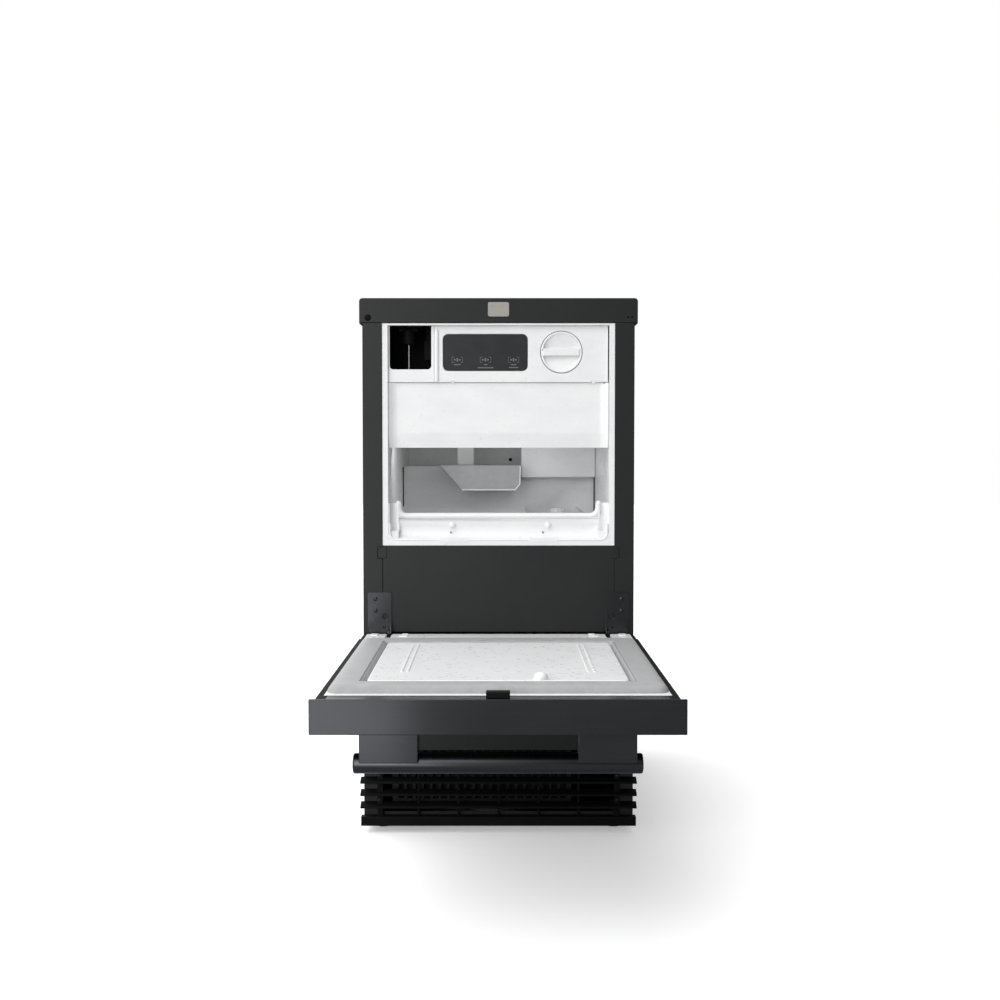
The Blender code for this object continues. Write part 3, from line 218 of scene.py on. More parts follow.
def stainless_sheet():
    """Bright stainless with a fine brushed line."""
    made, tree, shader, where = finish("stainless_sheet", metallic=1.0, roughness=0.3)
    marks = grain(tree, stretched(tree, where, 40, 0.6, 0.6), UNIT, 3, 0.6)
    tree.links.new(two_tone(tree, marks, "#a9acae", "#c3c6c7"), shader.inputs["Base Color"])
    tree.links.new(between(tree, marks, 0.22, 0.38), shader.inputs["Roughness"])
    relief(tree, shader, marks, 0.01, 0.3)
    return made


def dull_nickel():
    """Bead-blasted nickel plate: an even warm grey."""
    made, tree, shader, where = finish("dull_nickel", metallic=0.75, roughness=0.42)
    beads = grain(tree, where, 0.8, 2)
    tree.links.new(two_tone(tree, beads, "#98958f", "#a8a59f"), shader.inputs["Base Color"])
    tree.links.new(between(tree, beads, 0.36, 0.5), shader.inputs["Roughness"])
    relief(tree, shader, beads, 0.01, 0.4)
    return made


def drawn_copper():
    """Drawn copper tube: warm, with browner patches where it has tarnished."""
    made, tree, shader, where = finish("drawn_copper", metallic=1.0, roughness=0.32)
    tarnish = grain(tree, where, 22, 4)
    tree.links.new(two_tone(tree, tarnish, "#8a5236", "#c27f58"), shader.inputs["Base Color"])
    tree.links.new(between(tree, tarnish, 0.45, 0.25), shader.inputs["Roughness"])
    relief(tree, shader, grain(tree, where, 1.5, 2), 0.01, 0.3)
    return made


def smoked_acrylic():
    """Smoked acrylic panel: deep grey with a hard gloss and the faintest hand smears."""
    made, tree, shader, where = finish("smoked_acrylic", roughness=0.12, IOR=1.49)
    smear = grain(tree, stretched(tree, where, 25, 25, 10), UNIT, 3)
    tree.links.new(two_tone(tree, smear, "#202123", "#242527"), shader.inputs["Base Color"])
    tree.links.new(between(tree, smear, 0.1, 0.22), shader.inputs["Roughness"])
    relief(tree, shader, smear, 0.01, 0.1)
    return made


def solder_masked_board():
    """Green solder mask over copper tracks, which show as lighter lines."""
    made, tree, shader, where = finish("solder_masked_board", roughness=0.35, IOR=1.5)
    tracks = add(tree, "ShaderNodeTexBrick", {"offset": 0.5},
                 {"Vector": where, "Color1": linear("#1d5a3a"), "Color2": linear("#1a5034"),
                  "Mortar": linear("#3f8a5e"), "Scale": 1 / (16 * MM), "Mortar Size": 0.03})
    tree.links.new(tracks.outputs["Color"], shader.inputs["Base Color"])
    relief(tree, shader, tracks.outputs["Fac"], 0.03, 0.5)
    return made


def rigid_foam():
    """Blown polyurethane: pale yellow with open pinholes."""
    made, tree, shader, where = finish("rigid_foam", roughness=0.9)
    bubbles = add(tree, "ShaderNodeTexVoronoi", {}, {"Vector": where, "Scale": 1 / (2.5 * MM)})
    cells = bubbles.outputs["Distance"]
    tree.links.new(two_tone(tree, cells, "#c9b878", "#e8dca8", 0.0, 0.5), shader.inputs["Base Color"])
    relief(tree, shader, cells, 0.4, 0.6)
    return made


def moulded_rubber():
    """Hard black rubber with a chalky bloom."""
    made, tree, shader, where = finish("moulded_rubber", roughness=0.75)
    bloom = grain(tree, where, 9, 4)
    tree.links.new(two_tone(tree, bloom, "#131314", "#232324"), shader.inputs["Base Color"])
    relief(tree, shader, grain(tree, where, 1.5, 3), 0.05, 0.5)
    return made


def moulded_grey_nylon():
    """Filled grey nylon: slightly mottled, semi-matt."""
    made, tree, shader, where = finish("moulded_grey_nylon", roughness=0.5, IOR=1.53)
    mottle = grain(tree, where, 5, 4)
    tree.links.new(two_tone(tree, mottle, "#7f8386", "#8f9396"), shader.inputs["Base Color"])
    tree.links.new(between(tree, mottle, 0.42, 0.58), shader.inputs["Roughness"])
    relief(tree, shader, grain(tree, where, 1.2, 2), 0.03, 0.4)
    return made


def printed_ink():
    """Pale grey screen-printed ink, a little uneven."""
    made, tree, shader, where = finish("printed_ink", roughness=0.6)
    film = grain(tree, where, 0.8, 2)
    tree.links.new(two_tone(tree, film, "#5d5f61", "#787a7c"), shader.inputs["Base Color"])
    return made


def floor_paint():
    """Matt white studio floor with the slightest mottle; it throws little light back at the object."""
    made, tree, shader, where = finish("floor_paint", roughness=0.8, Emission_Color=(1, 1, 1, 1),
                                       Emission_Strength=0.35)
    mottle = grain(tree, where, 400, 2)
    tree.links.new(two_tone(tree, mottle, "#f4f4f4", "#f8f8f8"), shader.inputs["Base Color"])
    bounce = add(tree, "ShaderNodeBsdfDiffuse", {}, {"Color": two_tone(tree, mottle, "#a4a4a4", "#a8a8a8")})
    seen = add(tree, "ShaderNodeLightPath", {}, {}).outputs["Is Camera Ray"]
    mix = add(tree, "ShaderNodeMixShader", {},
              {0: seen, 1: bounce.outputs["BSDF"], 2: shader.outputs["BSDF"]})
    tree.links.new(mix.outputs["Shader"], tree.nodes["Material Output"].inputs["Surface"])
    return made


FINISHES = {
    "black_paint": powder_coated_steel(),
    "black_steel": black_stainless(),
    "black_plastic": moulded_black_abs(),
    "white_plastic": moulded_white_abs(),
    "grey_gasket": vinyl_seal(),
    "galvanised": galvanised_sheet(),
    "steel": stainless_sheet(),
    "nickel": dull_nickel(),
    "copper": drawn_copper(),
    "glass_black": smoked_acrylic(),
    "board_green": solder_masked_board(),
    "foam": rigid_foam(),
    "rubber": moulded_rubber(),
    "grey_plastic": moulded_grey_nylon(),
}
INK = printed_ink()


# ---------------------------------------------------------------- shapes

WELD = 0.005                     # millimetres: vertices closer than this become one
NEARLY_FLAT = math.radians(0.5)  # edges between faces this close to flat are dropped
ROUNDED_FROM = math.radians(30)  # edges sharper than this are rounded


def cuboid(x, y, z):
    """A box between the (low, high) pairs x, y and z."""
    bm = bmesh.new()
    size = Matrix.Diagonal((x[1] - x[0], y[1] - y[0], z[1] - z[0], 1))
    centre = Matrix.Translation(((x[0] + x[1]) / 2, (y[0] + y[1]) / 2, (z[0] + z[1]) / 2))
    bmesh.ops.create_cube(bm, size=1, matrix=centre @ size)
    return bm


TURNS = {"x": Matrix.Rotation(math.pi / 2, 4, "Y"), "y": Matrix.Rotation(-math.pi / 2, 4, "X"),
         "z": Matrix.Identity(4)}


def rod(axis, centre, radius, length, sides=48, rim=0.0):
    """A cylinder along axis from centre, with its rims rounded by rim."""
    bm = bmesh.new()
    bmesh.ops.create_cone(bm, cap_ends=True, segments=sides, radius1=radius, radius2=radius, depth=length,
                          matrix=Matrix.Translation((0, 0, length / 2)))
    if rim:
        rims = [e for e in bm.edges if abs(e.verts[0].co.z - e.verts[1].co.z) < length / 10]
        bmesh.ops.bevel(bm, geom=rims, offset=rim, affect="EDGES", segments=4, profile=0.5, material=-1)
    bm.transform(Matrix.Translation(centre) @ TURNS[axis])
    bmesh.ops.recalc_face_normals(bm, faces=bm.faces)
    return bm


def spun(profile, axis, centre, sides=48):
    """A turned solid: profile lists (radius, height) from pole to pole, heights along axis from centre."""
    bm = bmesh.new()
    verts = [bm.verts.new((r, 0, h)) for r, h in profile]
    edges = [bm.edges.new(pair) for pair in zip(verts, verts[1:])]
    bmesh.ops.spin(bm, geom=verts + edges, cent=(0, 0, 0), axis=(0, 0, 1), angle=math.tau, steps=sides,
                   use_merge=True)
    bmesh.ops.remove_doubles(bm, verts=bm.verts, dist=0.001)
    bm.transform(Matrix.Translation(centre) @ TURNS[axis])
    bmesh.ops.recalc_face_normals(bm, faces=bm.faces)
    return bm


def rounded(a, b, radius, steps=6):
    """Corner points of a round-cornered rectangle, anticlockwise from low-low."""
    outline = []
    for ca, cb, start in ((a[0], b[0], 180), (a[1], b[0], 270), (a[1], b[1], 0), (a[0], b[1], 90)):
        ma = ca + radius if ca == a[0] else ca - radius
        mb = cb + radius if cb == b[0] else cb - radius
        for step in range(steps + 1):
            turn = math.radians(start + 90 * step / steps)
            outline.append((ma + radius * math.cos(turn), mb + radius * math.sin(turn)))
    return outline


def slab(outline, axis, low, high):
    """A closed outline across axis, extruded from low to high."""
    place = {"x": lambda p, h: (h, p[0], p[1]), "y": lambda p, h: (p[0], h, p[1]),
             "z": lambda p, h: (p[0], p[1], h)}[axis]
    bm = bmesh.new()
    base = bm.faces.new([bm.verts.new(place(p, low)) for p in outline])
    grown = bmesh.ops.extrude_face_region(bm, geom=[base])["geom"]
    rise = Vector(place((0, 0), high - low))
    bmesh.ops.translate(bm, vec=rise, verts=[v for v in grown if isinstance(v, bmesh.types.BMVert)])
    bmesh.ops.recalc_face_normals(bm, faces=bm.faces)
    return bm


def corner_fillet(x, z, side, radius, foot, depth, steps):
    """Web that rounds a frame's lower corner at (x, z), from foot up; side is the way to the middle."""
    arc = [(x + side * radius * (1 - math.cos(turn)), z + radius * (1 - math.sin(turn)))
           for turn in [math.radians(90 * step / steps) for step in range(steps + 1)]]
    return slab([(x - side, foot), *arc], "y", *depth)


def bent_rod(points, radius, bend):
    """A round bar through points with its corners rounded by bend."""
    route = [Vector(points[0])]
    for before, corner, after in zip(points, points[1:], points[2:]):
        corner = Vector(corner)
        back = (Vector(before) - corner).normalized()
        ahead = (Vector(after) - corner).normalized()
        half = back.angle(ahead) / 2
        reach = bend / math.tan(half)
        middle = corner + (back + ahead).normalized() * bend / math.sin(half)
        start, end = corner + back * reach - middle, corner + ahead * reach - middle
        route += [middle + start.slerp(end, step / 8) * bend for step in range(9)]
    route.append(Vector(points[-1]))
    curve = bpy.data.curves.new("route", "CURVE")
    curve.dimensions = "3D"
    curve.bevel_depth = radius
    curve.bevel_resolution = 6
    curve.use_fill_caps = True
    spline = curve.splines.new("POLY")
    spline.points.add(len(route) - 1)
    for knot, place in zip(spline.points, route):
        knot.co = (*place, 1)
    holder = bpy.data.objects.new("route", curve)
    bpy.context.scene.collection.objects.link(holder)
    bm = bmesh.new()
    bm.from_mesh(holder.to_mesh())
    bpy.data.objects.remove(holder)
    bmesh.ops.remove_doubles(bm, verts=bm.verts, dist=0.001)
    bmesh.ops.recalc_face_normals(bm, faces=bm.faces)
    return bm


def held(bm):
    """A bmesh as a working object, for the Boolean modifier."""
    mesh = bpy.data.meshes.new("work")
    bm.to_mesh(mesh)
    bm.free()
    made = bpy.data.objects.new("work", mesh)
    bpy.context.scene.collection.objects.link(made)
    return made


def combined(base, join=(), cut=()):
    """base joined with each shape in join, less each in cut."""
    body = held(base)
    tools = []
    for operation, shapes in (("UNION", join), ("DIFFERENCE", cut)):
        for shape in shapes:
            tool = held(shape)
            tools.append(tool)
            boolean = body.modifiers.new("cut", "BOOLEAN")
            boolean.operation = operation
            boolean.solver = "EXACT"
            boolean.object = tool
    bpy.context.view_layer.update()
    done = bmesh.new()
    done.from_object(body, bpy.context.evaluated_depsgraph_get())
    for used in [body, *tools]:
        bpy.data.objects.remove(used)
    bmesh.ops.remove_doubles(done, verts=done.verts, dist=WELD)
    bmesh.ops.dissolve_limit(done, angle_limit=NEARLY_FLAT, verts=done.verts, edges=done.edges)
    return done


def gathered(shapes):
    """Several shapes as one bmesh."""
    whole = bmesh.new()
    for shape in shapes:
        scratch = bpy.data.meshes.new("scratch")
        shape.to_mesh(scratch)
        shape.free()
        whole.from_mesh(scratch)
        bpy.data.meshes.remove(scratch)
    return whole


def piece(name, bm, body, material, replaces=(), edge=0.0, segments=2, sharp=35):
    """A finished piece on a body, with its edges rounded by edge millimetres."""
    bm.transform(CABINET)
    mesh = bpy.data.meshes.new(name)
    bm.to_mesh(mesh)
    bm.free()
    mesh.materials.append(material)
    mesh.shade_smooth()
    mesh.set_sharp_from_angle(angle=math.radians(sharp))
    made = bpy.data.objects.new(name, mesh)
    bpy.context.scene.collection.objects.link(made)
    if edge:
        rounding = made.modifiers.new("edges", "BEVEL")
        rounding.width = edge * MM
        rounding.segments = segments
        rounding.limit_method = "ANGLE"
        rounding.angle_limit = ROUNDED_FROM
        rounding.use_clamp_overlap = False
        made.modifiers.new("flat_faces", "WEIGHTED_NORMAL").keep_sharp = True
    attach(made, body)
    if replaces:
        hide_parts(*replaces)
    return made


def refined(node, edge, segments=2, join=(), cut=(), slot=None):
    """The CAD node's own shape with its edges rounded, standing in for it."""
    bm = bmesh.new()
    bm.from_mesh(frame["nodes"][node].data)
    bmesh.ops.remove_doubles(bm, verts=bm.verts, dist=1e-6)
    bm.transform(CABINET.inverted())
    if join or cut:
        bm = combined(bm, join, cut)
    bmesh.ops.dissolve_limit(bm, angle_limit=NEARLY_FLAT, verts=bm.verts, edges=bm.edges)
    slot = slot or NODE_SLOT[node]
    return piece(node + "_finished", bm, NODE_BODY[node], FINISHES[slot], (node,), edge, segments)


def pan_screw(centre, axis, radius):
    """A pan-head screw with a cross recess; it stands out against axis."""
    head = spun([(0, 0.6 * radius), (0.55 * radius, 0.52 * radius), (0.9 * radius, 0.25 * radius),
                 (radius, 0), (radius, -0.3 * radius), (0, -0.3 * radius)], "z", (0, 0, 0), 24)
    arm, half = around(0, 0.6 * radius), around(0, 0.11 * radius)
    deep = (0.15 * radius, radius)
    made = combined(head, cut=[cuboid(arm, half, deep), cuboid(half, arm, deep)])
    made.transform(Matrix.Translation(centre) @ TURNS[axis])
    return made


def facing_front(shape, place):
    """A shape that stands along +y at the origin, turned to the front and moved to place."""
    shape.transform(Matrix.Translation(place) @ Matrix.Rotation(math.pi, 4, "Z"))
    return shape


def front_screws(name, places, radius, material):
    """Pan-head screws facing the front at (x, y, z) places."""
    heads = [facing_front(pan_screw((0, 0, 0), "y", radius), place) for place in places]
    return piece(name, gathered(heads), "cabinet", material)


# ---------------------------------------------------------------- cabinet

CABINET_EDGES = {"cabinet_shell": 0.7, "top_cap": 1.2, "access_panel": 0.6, "lower_front_panel": 0.5,
                 "kick_grille": 0.5, "base_pan": 0.5, "back_panel": 0.4, "junction_box": 0.8,
                 "water_valve": 0.8, "foot_front_left": 0.8, "foot_front_right": 0.8,
                 "foot_rear_left": 0.8, "foot_rear_right": 0.8}


def cabinet():
    """Painted steelwork, grille, feet and rear panel."""
    for node, edge in CABINET_EDGES.items():
        refined(node, edge)
    cap_plugs()
    strike_plate()
    screw_x, screw_y = 193, -6.2
    front_screws("grille_screws", [(side * screw_x, screw_y, z) for side in (-1, 1) for z in (40, 80)], 3.4,
                 FINISHES["black_paint"])
    back_y = span("back_panel")[1][1]
    sides = [(x, z) for x in (-205, 205) for z in (40, 300, 560, 820)]
    ends = [(x, z) for x in (-100, 100) for z in (20, 838)]
    heads = [pan_screw((x, back_y, z), "y", 4.0) for x, z in sides + ends]
    piece("rear_screws", gathered(heads), "cabinet", FINISHES["galvanised"])


def cap_plugs():
    """A hole plug at the left of the lid's front and two small ones at its right."""
    drop, inset = 31.5, 14
    cap_x, _, cap_z = span("top_cap")
    plug_z = cap_z[1] - drop
    dome = [(0, 1.6), (2.6, 1.5), (4.6, 0.7), (5.4, 0), (5.4, -0.5), (0, -0.5)]
    plugs = [facing_front(spun(dome, "y", (0, 0, 0), 32), (cap_x[0] + inset, 0, plug_z))]
    plugs += [rod("y", (cap_x[1] - small, -0.5, plug_z + 1), 1.7, 1.0, 20, 0.4) for small in (16, 9.5)]
    piece("cap_plugs", gathered(plugs), "cabinet", FINISHES["black_plastic"])


def strike_plate():
    """Plain plated strike with a shallow square mark at each end."""
    inset, half, deep = 8.2, 1.8, 0.25
    plate_x, plate_y, plate_z = span("strike_plate")
    mark_y = (plate_y[0] - 2, plate_y[0] + deep)
    mark_z = (plate_z[1] - 9.5, plate_z[1] - 4.5)
    marks = [cuboid(around(x, half), mark_y, mark_z) for x in (plate_x[0] + inset, plate_x[1] - inset)]
    refined("strike_plate", 0.2, cut=marks)


def hinges():
    """Hinge brackets with their screws, pins and arms."""
    for word in ("left", "right"):
        refined(f"hinge_bracket_{word}", 0.4)
        refined(f"hinge_arm_{word}", 0.3, slot="black_steel")
        refined(f"hinge_pin_{word}", 0.3, slot="black_steel")
    inset, sunk = 13, 1.6
    bracket_x, bracket_y, bracket_z = span("hinge_bracket_right")
    places = [(side * (bracket_x[1] - inset), bracket_y[1] - sunk, bracket_z[0] + height)
              for side in (-1, 1) for height in (41.5, 60.5)]
    front_screws("bracket_screws", places, 3.6, FINISHES["black_steel"])


# ---------------------------------------------------------------- door

PANEL_RISE = 7.2        # raised panel above the seal's foot
BEAD_Y = (-402, -172)
DOME_PLACE = (54.4, -453.9)
SEAL_WIDTH = 42.0
PADS = ((199, -20, 12, 16), (152, -30, 14, 10), (201, -48, 8, 20), (150, -14, 10, 5))   # x, y, width, depth


def door():
    """Skin, frame, latch tab, inner moulding, seal and handle."""
    refined("door_skin", 0.9, 3)
    refined("door_frame", 0.5)
    refined("latch_tab", 0.7)
    door_lining()
    door_seal()
    bar_x, bar_y, bar_z = span("handle_bar")
    bar = rod("x", (bar_x[0], sum(bar_y) / 2, sum(bar_z) / 2), (bar_z[1] - bar_z[0]) / 2, bar_x[1] - bar_x[0],
              64, 2.6)
    piece("grip_bar", bar, "door", FINISHES["black_steel"], ("handle_bar",))
    for word in ("left", "right"):
        refined(f"handle_post_{word}", 0.8)


def door_lining():
    """Moulded sheet with its raised panel, slots for the hinge arms, beads, pads and a switch dome."""
    white = FINISHES["white_plastic"]
    sheet_x, sheet_y, sheet_z = span("door_liner")
    seal_x, seal_and_shade_y, seal_z = span("door_gasket")
    slot_x = span("hinge_bracket_right")[0][0] + 3.1
    slots = [cuboid(around(side * slot_x, 3.7), (sheet_y[1] - 40, sheet_y[1] + 5),
                    (sheet_z[0] - 5, seal_z[0] + 5)) for side in (-1, 1)]
    sheet = combined(cuboid(sheet_x, sheet_y, (sheet_z[0], seal_z[0] - 0.3)), cut=slots)
    top = seal_z[0] + PANEL_RISE
    outline = rounded((seal_x[0] + 45, seal_x[1] - 45), (seal_and_shade_y[0] + 47, seal_and_shade_y[1] - 49), 9, 8)
    panel = slab(outline, "z", sheet_z[0] + 1, top)
    piece("door_lining", gathered([sheet, panel]), "door", white, ("door_liner",), 1.6, 4)

    foot = top - 0.5
    rise = sheet_z[1] - foot
    profile = [(0, 0), (9.2, 0), (9.1, 0.35), (8.0, 0.68), (5.4, 0.9), (2.6, 0.985), (0, 1)]
    dome = spun([(radius, foot + share * rise) for radius, share in profile], "z", (*DOME_PLACE, 0), 48)
    piece("switch_dome", dome, "door", white, sharp=60)

    beads = [slab(rounded(around(side * x, 1.7), BEAD_Y, 1.6), "z", top - 1, top + 0.9)
             for side in (-1, 1) for x in (118.5, 126.5)]
    piece("liner_beads", gathered(beads), "door", white, edge=0.7, segments=3)

    flat = sheet_z[0] + 3.0
    pads = [slab(rounded(around(side * x, wide / 2), around(y, deep / 2), 2), "z", flat - 0.5, flat + 1.6)
            for side in (-1, 1) for x, y, wide, deep in PADS]
    piece("hinge_pads", gathered(pads), "door", white, edge=0.5)


def soft_ring(x, y, base, profile, corner, steps=8):
    """A band round a rectangle; profile lists (inset, height) from its outer foot to its inner foot."""
    bm = bmesh.new()
    rings = []
    for inset, height in profile:
        outline = rounded((x[0] + inset, x[1] - inset), (y[0] + inset, y[1] - inset),
                          max(corner - inset, 2.0), steps)
        verts = [bm.verts.new((px, py, base + height)) for px, py in outline]
        rings.append([bm.edges.new(pair) for pair in zip(verts, verts[1:] + verts[:1])])
    for near, far in zip(rings, rings[1:] + rings[:1]):
        bmesh.ops.bridge_loops(bm, edges=near + far)
    bmesh.ops.recalc_face_normals(bm, faces=bm.faces)
    return bm


def door_seal():
    """Crowned magnetic seal with a narrow groove along its inner side."""
    seal_x, seal_and_shade_y, seal_z = span("door_gasket")
    crown = seal_z[1] - seal_z[0]
    outer = [(0, 0), (0.4, 0.22), (1.6, 0.5), (3.6, 0.74), (6.5, 0.9), (10, 0.975), (14.5, 1), (20, 1)]
    inner = [(12, 0.97), (5.6, 0.92), (5, 0.72), (4.2, 0.72), (3.6, 0.9), (1.6, 0.78), (0.6, 0.5), (0, 0)]
    profile = outer + [(SEAL_WIDTH - inset, share) for inset, share in inner]
    ring = soft_ring(seal_x, seal_and_shade_y, seal_z[0], [(inset, share * crown) for inset, share in profile], 14)
    piece("door_seal", ring, "door", FINISHES["grey_gasket"], ("door_gasket",), sharp=60)


# ---------------------------------------------------------------- white compartment

RAIL_Y, RAIL_Z, RAIL_RADIUS = 17.0, 501.8, 4.8
RAIL_TIP = (162.5, 14.5, 522.4)
RIDGE_Y, RIDGE_Z = 1.9, 463.6
SILL_HALF = 178.6


def compartment():
    """Bin moulding with its sill and fittings, and the pump bay beside the controls."""
    sill()
    bin_fittings()
    for node, edge in (("rear_duct_cover", 2.5), ("thermostat_housing", 2.0), ("drain_cap", 0.5),
                       ("water_pan", 0.8), ("pump_bay", 0.8), ("pump_motor", 0.8), ("pump_housing", 0.5),
                       ("pump_rotor", 0.2)):
        refined(node, edge)
    pump_bay()


def sill():
    """Bin moulding hollowed under its rail; the rail's hooks, the ridge, its tabs, the buttons, and grey
    discs of painted shade for two openings in the sill face.
    """
    white = FINISHES["white_plastic"]
    face = [(-5, 466.5), (5.0, 466.5), (12.5, 468.6), (16.5, 474), (17.2, 480), (15.5, 487), (12.6, 493),
            (9, 497.6), (-5, 497.6)]
    refined("bin_liner", 0, cut=[slab(face, "x", *around(0, 161))])

    tip_x, tip_y, tip_z = RAIL_TIP
    route = [(-tip_x, tip_y, tip_z), (-161, RAIL_Y, RAIL_Z), (161, RAIL_Y, RAIL_Z), RAIL_TIP]
    ball = [(r * RAIL_RADIUS, h * RAIL_RADIUS) for r, h in ((0, -1), (0.7, -0.7), (1, 0), (0.7, 0.7), (0, 1))]
    balls = [spun(ball, "z", (side * tip_x, tip_y, tip_z), 24) for side in (-1, 1)]
    piece("sill_rail", combined(bent_rod(route, RAIL_RADIUS, 13.0), balls), "cabinet", white)

    ends = [(-176, 490), (-176, RIDGE_Z), (176, RIDGE_Z), (176, 490)]
    ridge = [bent_rod([(x, RIDGE_Y, z) for x, z in ends], 1.5, 12.0)]
    ridge += [cuboid(around(side * 72.8, 23), (0.2, 2.6), (461.4, 467.2)) for side in (-1, 1)]
    piece("sill_ridge", gathered(ridge), "cabinet", white)

    corners = [corner_fillet(side * SILL_HALF, 464.8, -side, 13, 464.0, (1.5, 4.5), 10) for side in (-1, 1)]
    piece("sill_corners", gathered(corners), "cabinet", white, edge=0.5)

    dome = [(0, 1.4), (2.4, 1.1), (4.2, 0.3), (4.8, -1.0), (0, -1.0)]
    buttons = [facing_front(spun(dome, "y", (0, 0, 0), 24), (x, 11.2, 487.2)) for x in (-75.5, 80.3)]
    piece("sill_buttons", gathered(buttons), "cabinet", white)
    # grey discs stand for two openings in the sill face: painted shade of their dark insides
    hole_shades = [rod("y", (x, 5.6, 475.4), 1.9, 2.2, 20) for x in (-77, 72)]
    piece("sill_hole_shades", gathered(hole_shades), "cabinet", FINISHES["grey_plastic"])


def bin_fittings():
    """Raised facet in the bin's floor, black strips of painted shade in its rear corners, a black disc of
    painted shade where a sensor hole is, and the scoop, whose grey finish is painted shade and whose white
    rim line is a painted highlight.
    """
    white, dark = FINISHES["white_plastic"], FINISHES["black_plastic"]
    wall_y, floor_z = 319.5, 481.5
    facet = bmesh.new()
    for point in ((126, wall_y, floor_z), (143, wall_y, 505.0), (173, wall_y, floor_z), (150, 262, floor_z)):
        facet.verts.new(point)
    bmesh.ops.convex_hull(facet, input=facet.verts)
    bmesh.ops.recalc_face_normals(facet, faces=facet.faces)
    piece("floor_facet", facet, "cabinet", white)
    # black strips where the side walls meet the back wall: painted shade in the corner creases
    seal_and_shade_y = (316, 319.4)
    shade_strips = [cuboid((-178.3, -176.6), seal_and_shade_y, (482, 577)), cuboid((176.6, 178.3), seal_and_shade_y, (482, 640))]
    piece("corner_shade_strips", gathered(shade_strips), "cabinet", dark)
    # a thin black disc stands for the sensor hole: painted shade of the hole's dark inside
    piece("sensor_hole_shade", rod("y", (23, 478.2, 589), 3.3, 1.6, 24, 0.3), "cabinet", dark)
    _, scoop_y, scoop_z = span("ice_scoop")
    # a white bead traced along the scoop's outline: painted highlight of its lit rim
    rim = [(-66, scoop_z[0] + 1), (30, scoop_z[0] + 1), (38.2, scoop_z[0] + 11), (39.2, scoop_z[1] - 1)]
    bead = bent_rod([(x, scoop_y[0], z) for x, z in rim], 1.1, 3.0)
    piece("scoop_rim_highlight", bead, "scoop", white)
    # the scoop is white plastic; the grey seal finish it takes here is painted shade
    refined("ice_scoop", 0.9, slot="grey_gasket")


def pump_bay():
    """Frame of the bay with rounded lower corners, and the float switch that hangs in the bay."""
    bay_x, _, bay_z = span("pump_bay")
    depth = span("pump_bay_bezel")[1]
    corners = [corner_fillet(x, bay_z[0] + 1.5, side, 6, bay_z[0] + 0.5, depth, 8)
               for side, x in ((1, bay_x[0] + 1.5), (-1, bay_x[1] - 1.5))]
    refined("pump_bay_bezel", 0.8, join=corners)
    side_x = (bay_x[1] - 14.5, bay_x[1] - 2.2)
    stem = rod("z", (sum(side_x) / 2, 49, bay_z[0] + 1.6), 2.4, 20, 24)
    hanger = cuboid((side_x[0] + 3, side_x[1] - 3), (44, 56), (bay_z[0] + 48, bay_z[1] - 1.6))
    switch = combined(cuboid(side_x, (38, 60), (bay_z[0] + 18, bay_z[0] + 50)), [stem, hanger])
    piece("float_switch", switch, "cabinet", FINISHES["black_plastic"], edge=0.6)


# ---------------------------------------------------------------- controls

TAB_X = (-73.6, 153.6)
KEY_X = (-66.5, -21.0, 24.2)
KEY_Z = 754.4
KEY_WORDS = ((-66.5, 5.2, 746.6), (-21.0, 3.2, 746.6), (24.2, 4.6, 746.6), (-21.0, 13.0, 741.6),
             (24.2, 7.6, 742.0))                        # plain bars: middle x, half length, z
GRIP_HALF = 5.2
DISH_RIM = 3.2
DISH_SLOPE = 0.24


def controls():
    """Control bezel with its rib, tabs and catch, the display, and the quarter-turn filter cap."""
    white = FINISHES["white_plastic"]
    x, y, z = span("control_bezel")
    notches = [cuboid(around(tab, 3.4), (y[0] - 1, y[0] + 1.2), (z[0] - 1, z[0] + 2.2)) for tab in TAB_X]
    reveal = cuboid((x[1] - 1.6, x[1] + 1), (y[0] - 1, y[1] + 40), (z[0] - 1, z[1] + 1))
    refined("control_bezel", 0.8, 3, cut=[reveal, *notches])
    refined("display_glass", 0.5)
    profile = [(0, z[0] + 0.4), (2.6, z[0] + 0.4), (3.8, z[0] + 2), (3.8, z[1] - 9), (2.7, z[1] - 5.5),
               (0, z[1] - 4)]
    rib = spun(profile, "z", (x[0] + 3.8, y[0] + 0.8, 0), 32)
    piece("bezel_rib", rib, "cabinet", white)
    tabs = [cuboid(around(tab, 2.4), (y[0] + 0.4, y[0] + 2.6), (z[0] - 1.6, z[0] + 1.4)) for tab in TAB_X]
    piece("bezel_tabs", gathered(tabs), "cabinet", white, edge=0.4)
    catch = cuboid((169.5, 177.5), (y[0] + 0.8, y[0] + 6), (z[0] - 1.5, z[0] - 0.2))
    piece("bezel_catch", catch, "cabinet", FINISHES["black_plastic"])
    touch_marks()
    filter_knob()


def touch_marks():
    """Printed brackets, dots and bars that stand for the display's three keys."""
    face = span("display_glass")[1][0]
    ink_y = (face - 0.06, face + 0.2)
    stroke = 0.25
    ink = []
    for x in KEY_X:
        for side in (-1, 1):
            ink.append(cuboid(around(x + side * 8.6, stroke), ink_y, around(KEY_Z, 4.2)))
            for end in (-1, 1):
                ink.append(cuboid(around(x + side * 6.8, 2.0), ink_y, around(KEY_Z + end * 4.3, stroke)))
            ink.append(rod("y", (x + side * 4.0, ink_y[0], KEY_Z), 1.4, ink_y[1] - ink_y[0], 20))
        ink.append(cuboid(around(x, 1.2), ink_y, around(KEY_Z, 2.6)))
    ink += [cuboid(around(x, half), ink_y, around(z, 0.7)) for x, half, z in KEY_WORDS]
    piece("touch_marks", gathered(ink), "cabinet", INK)


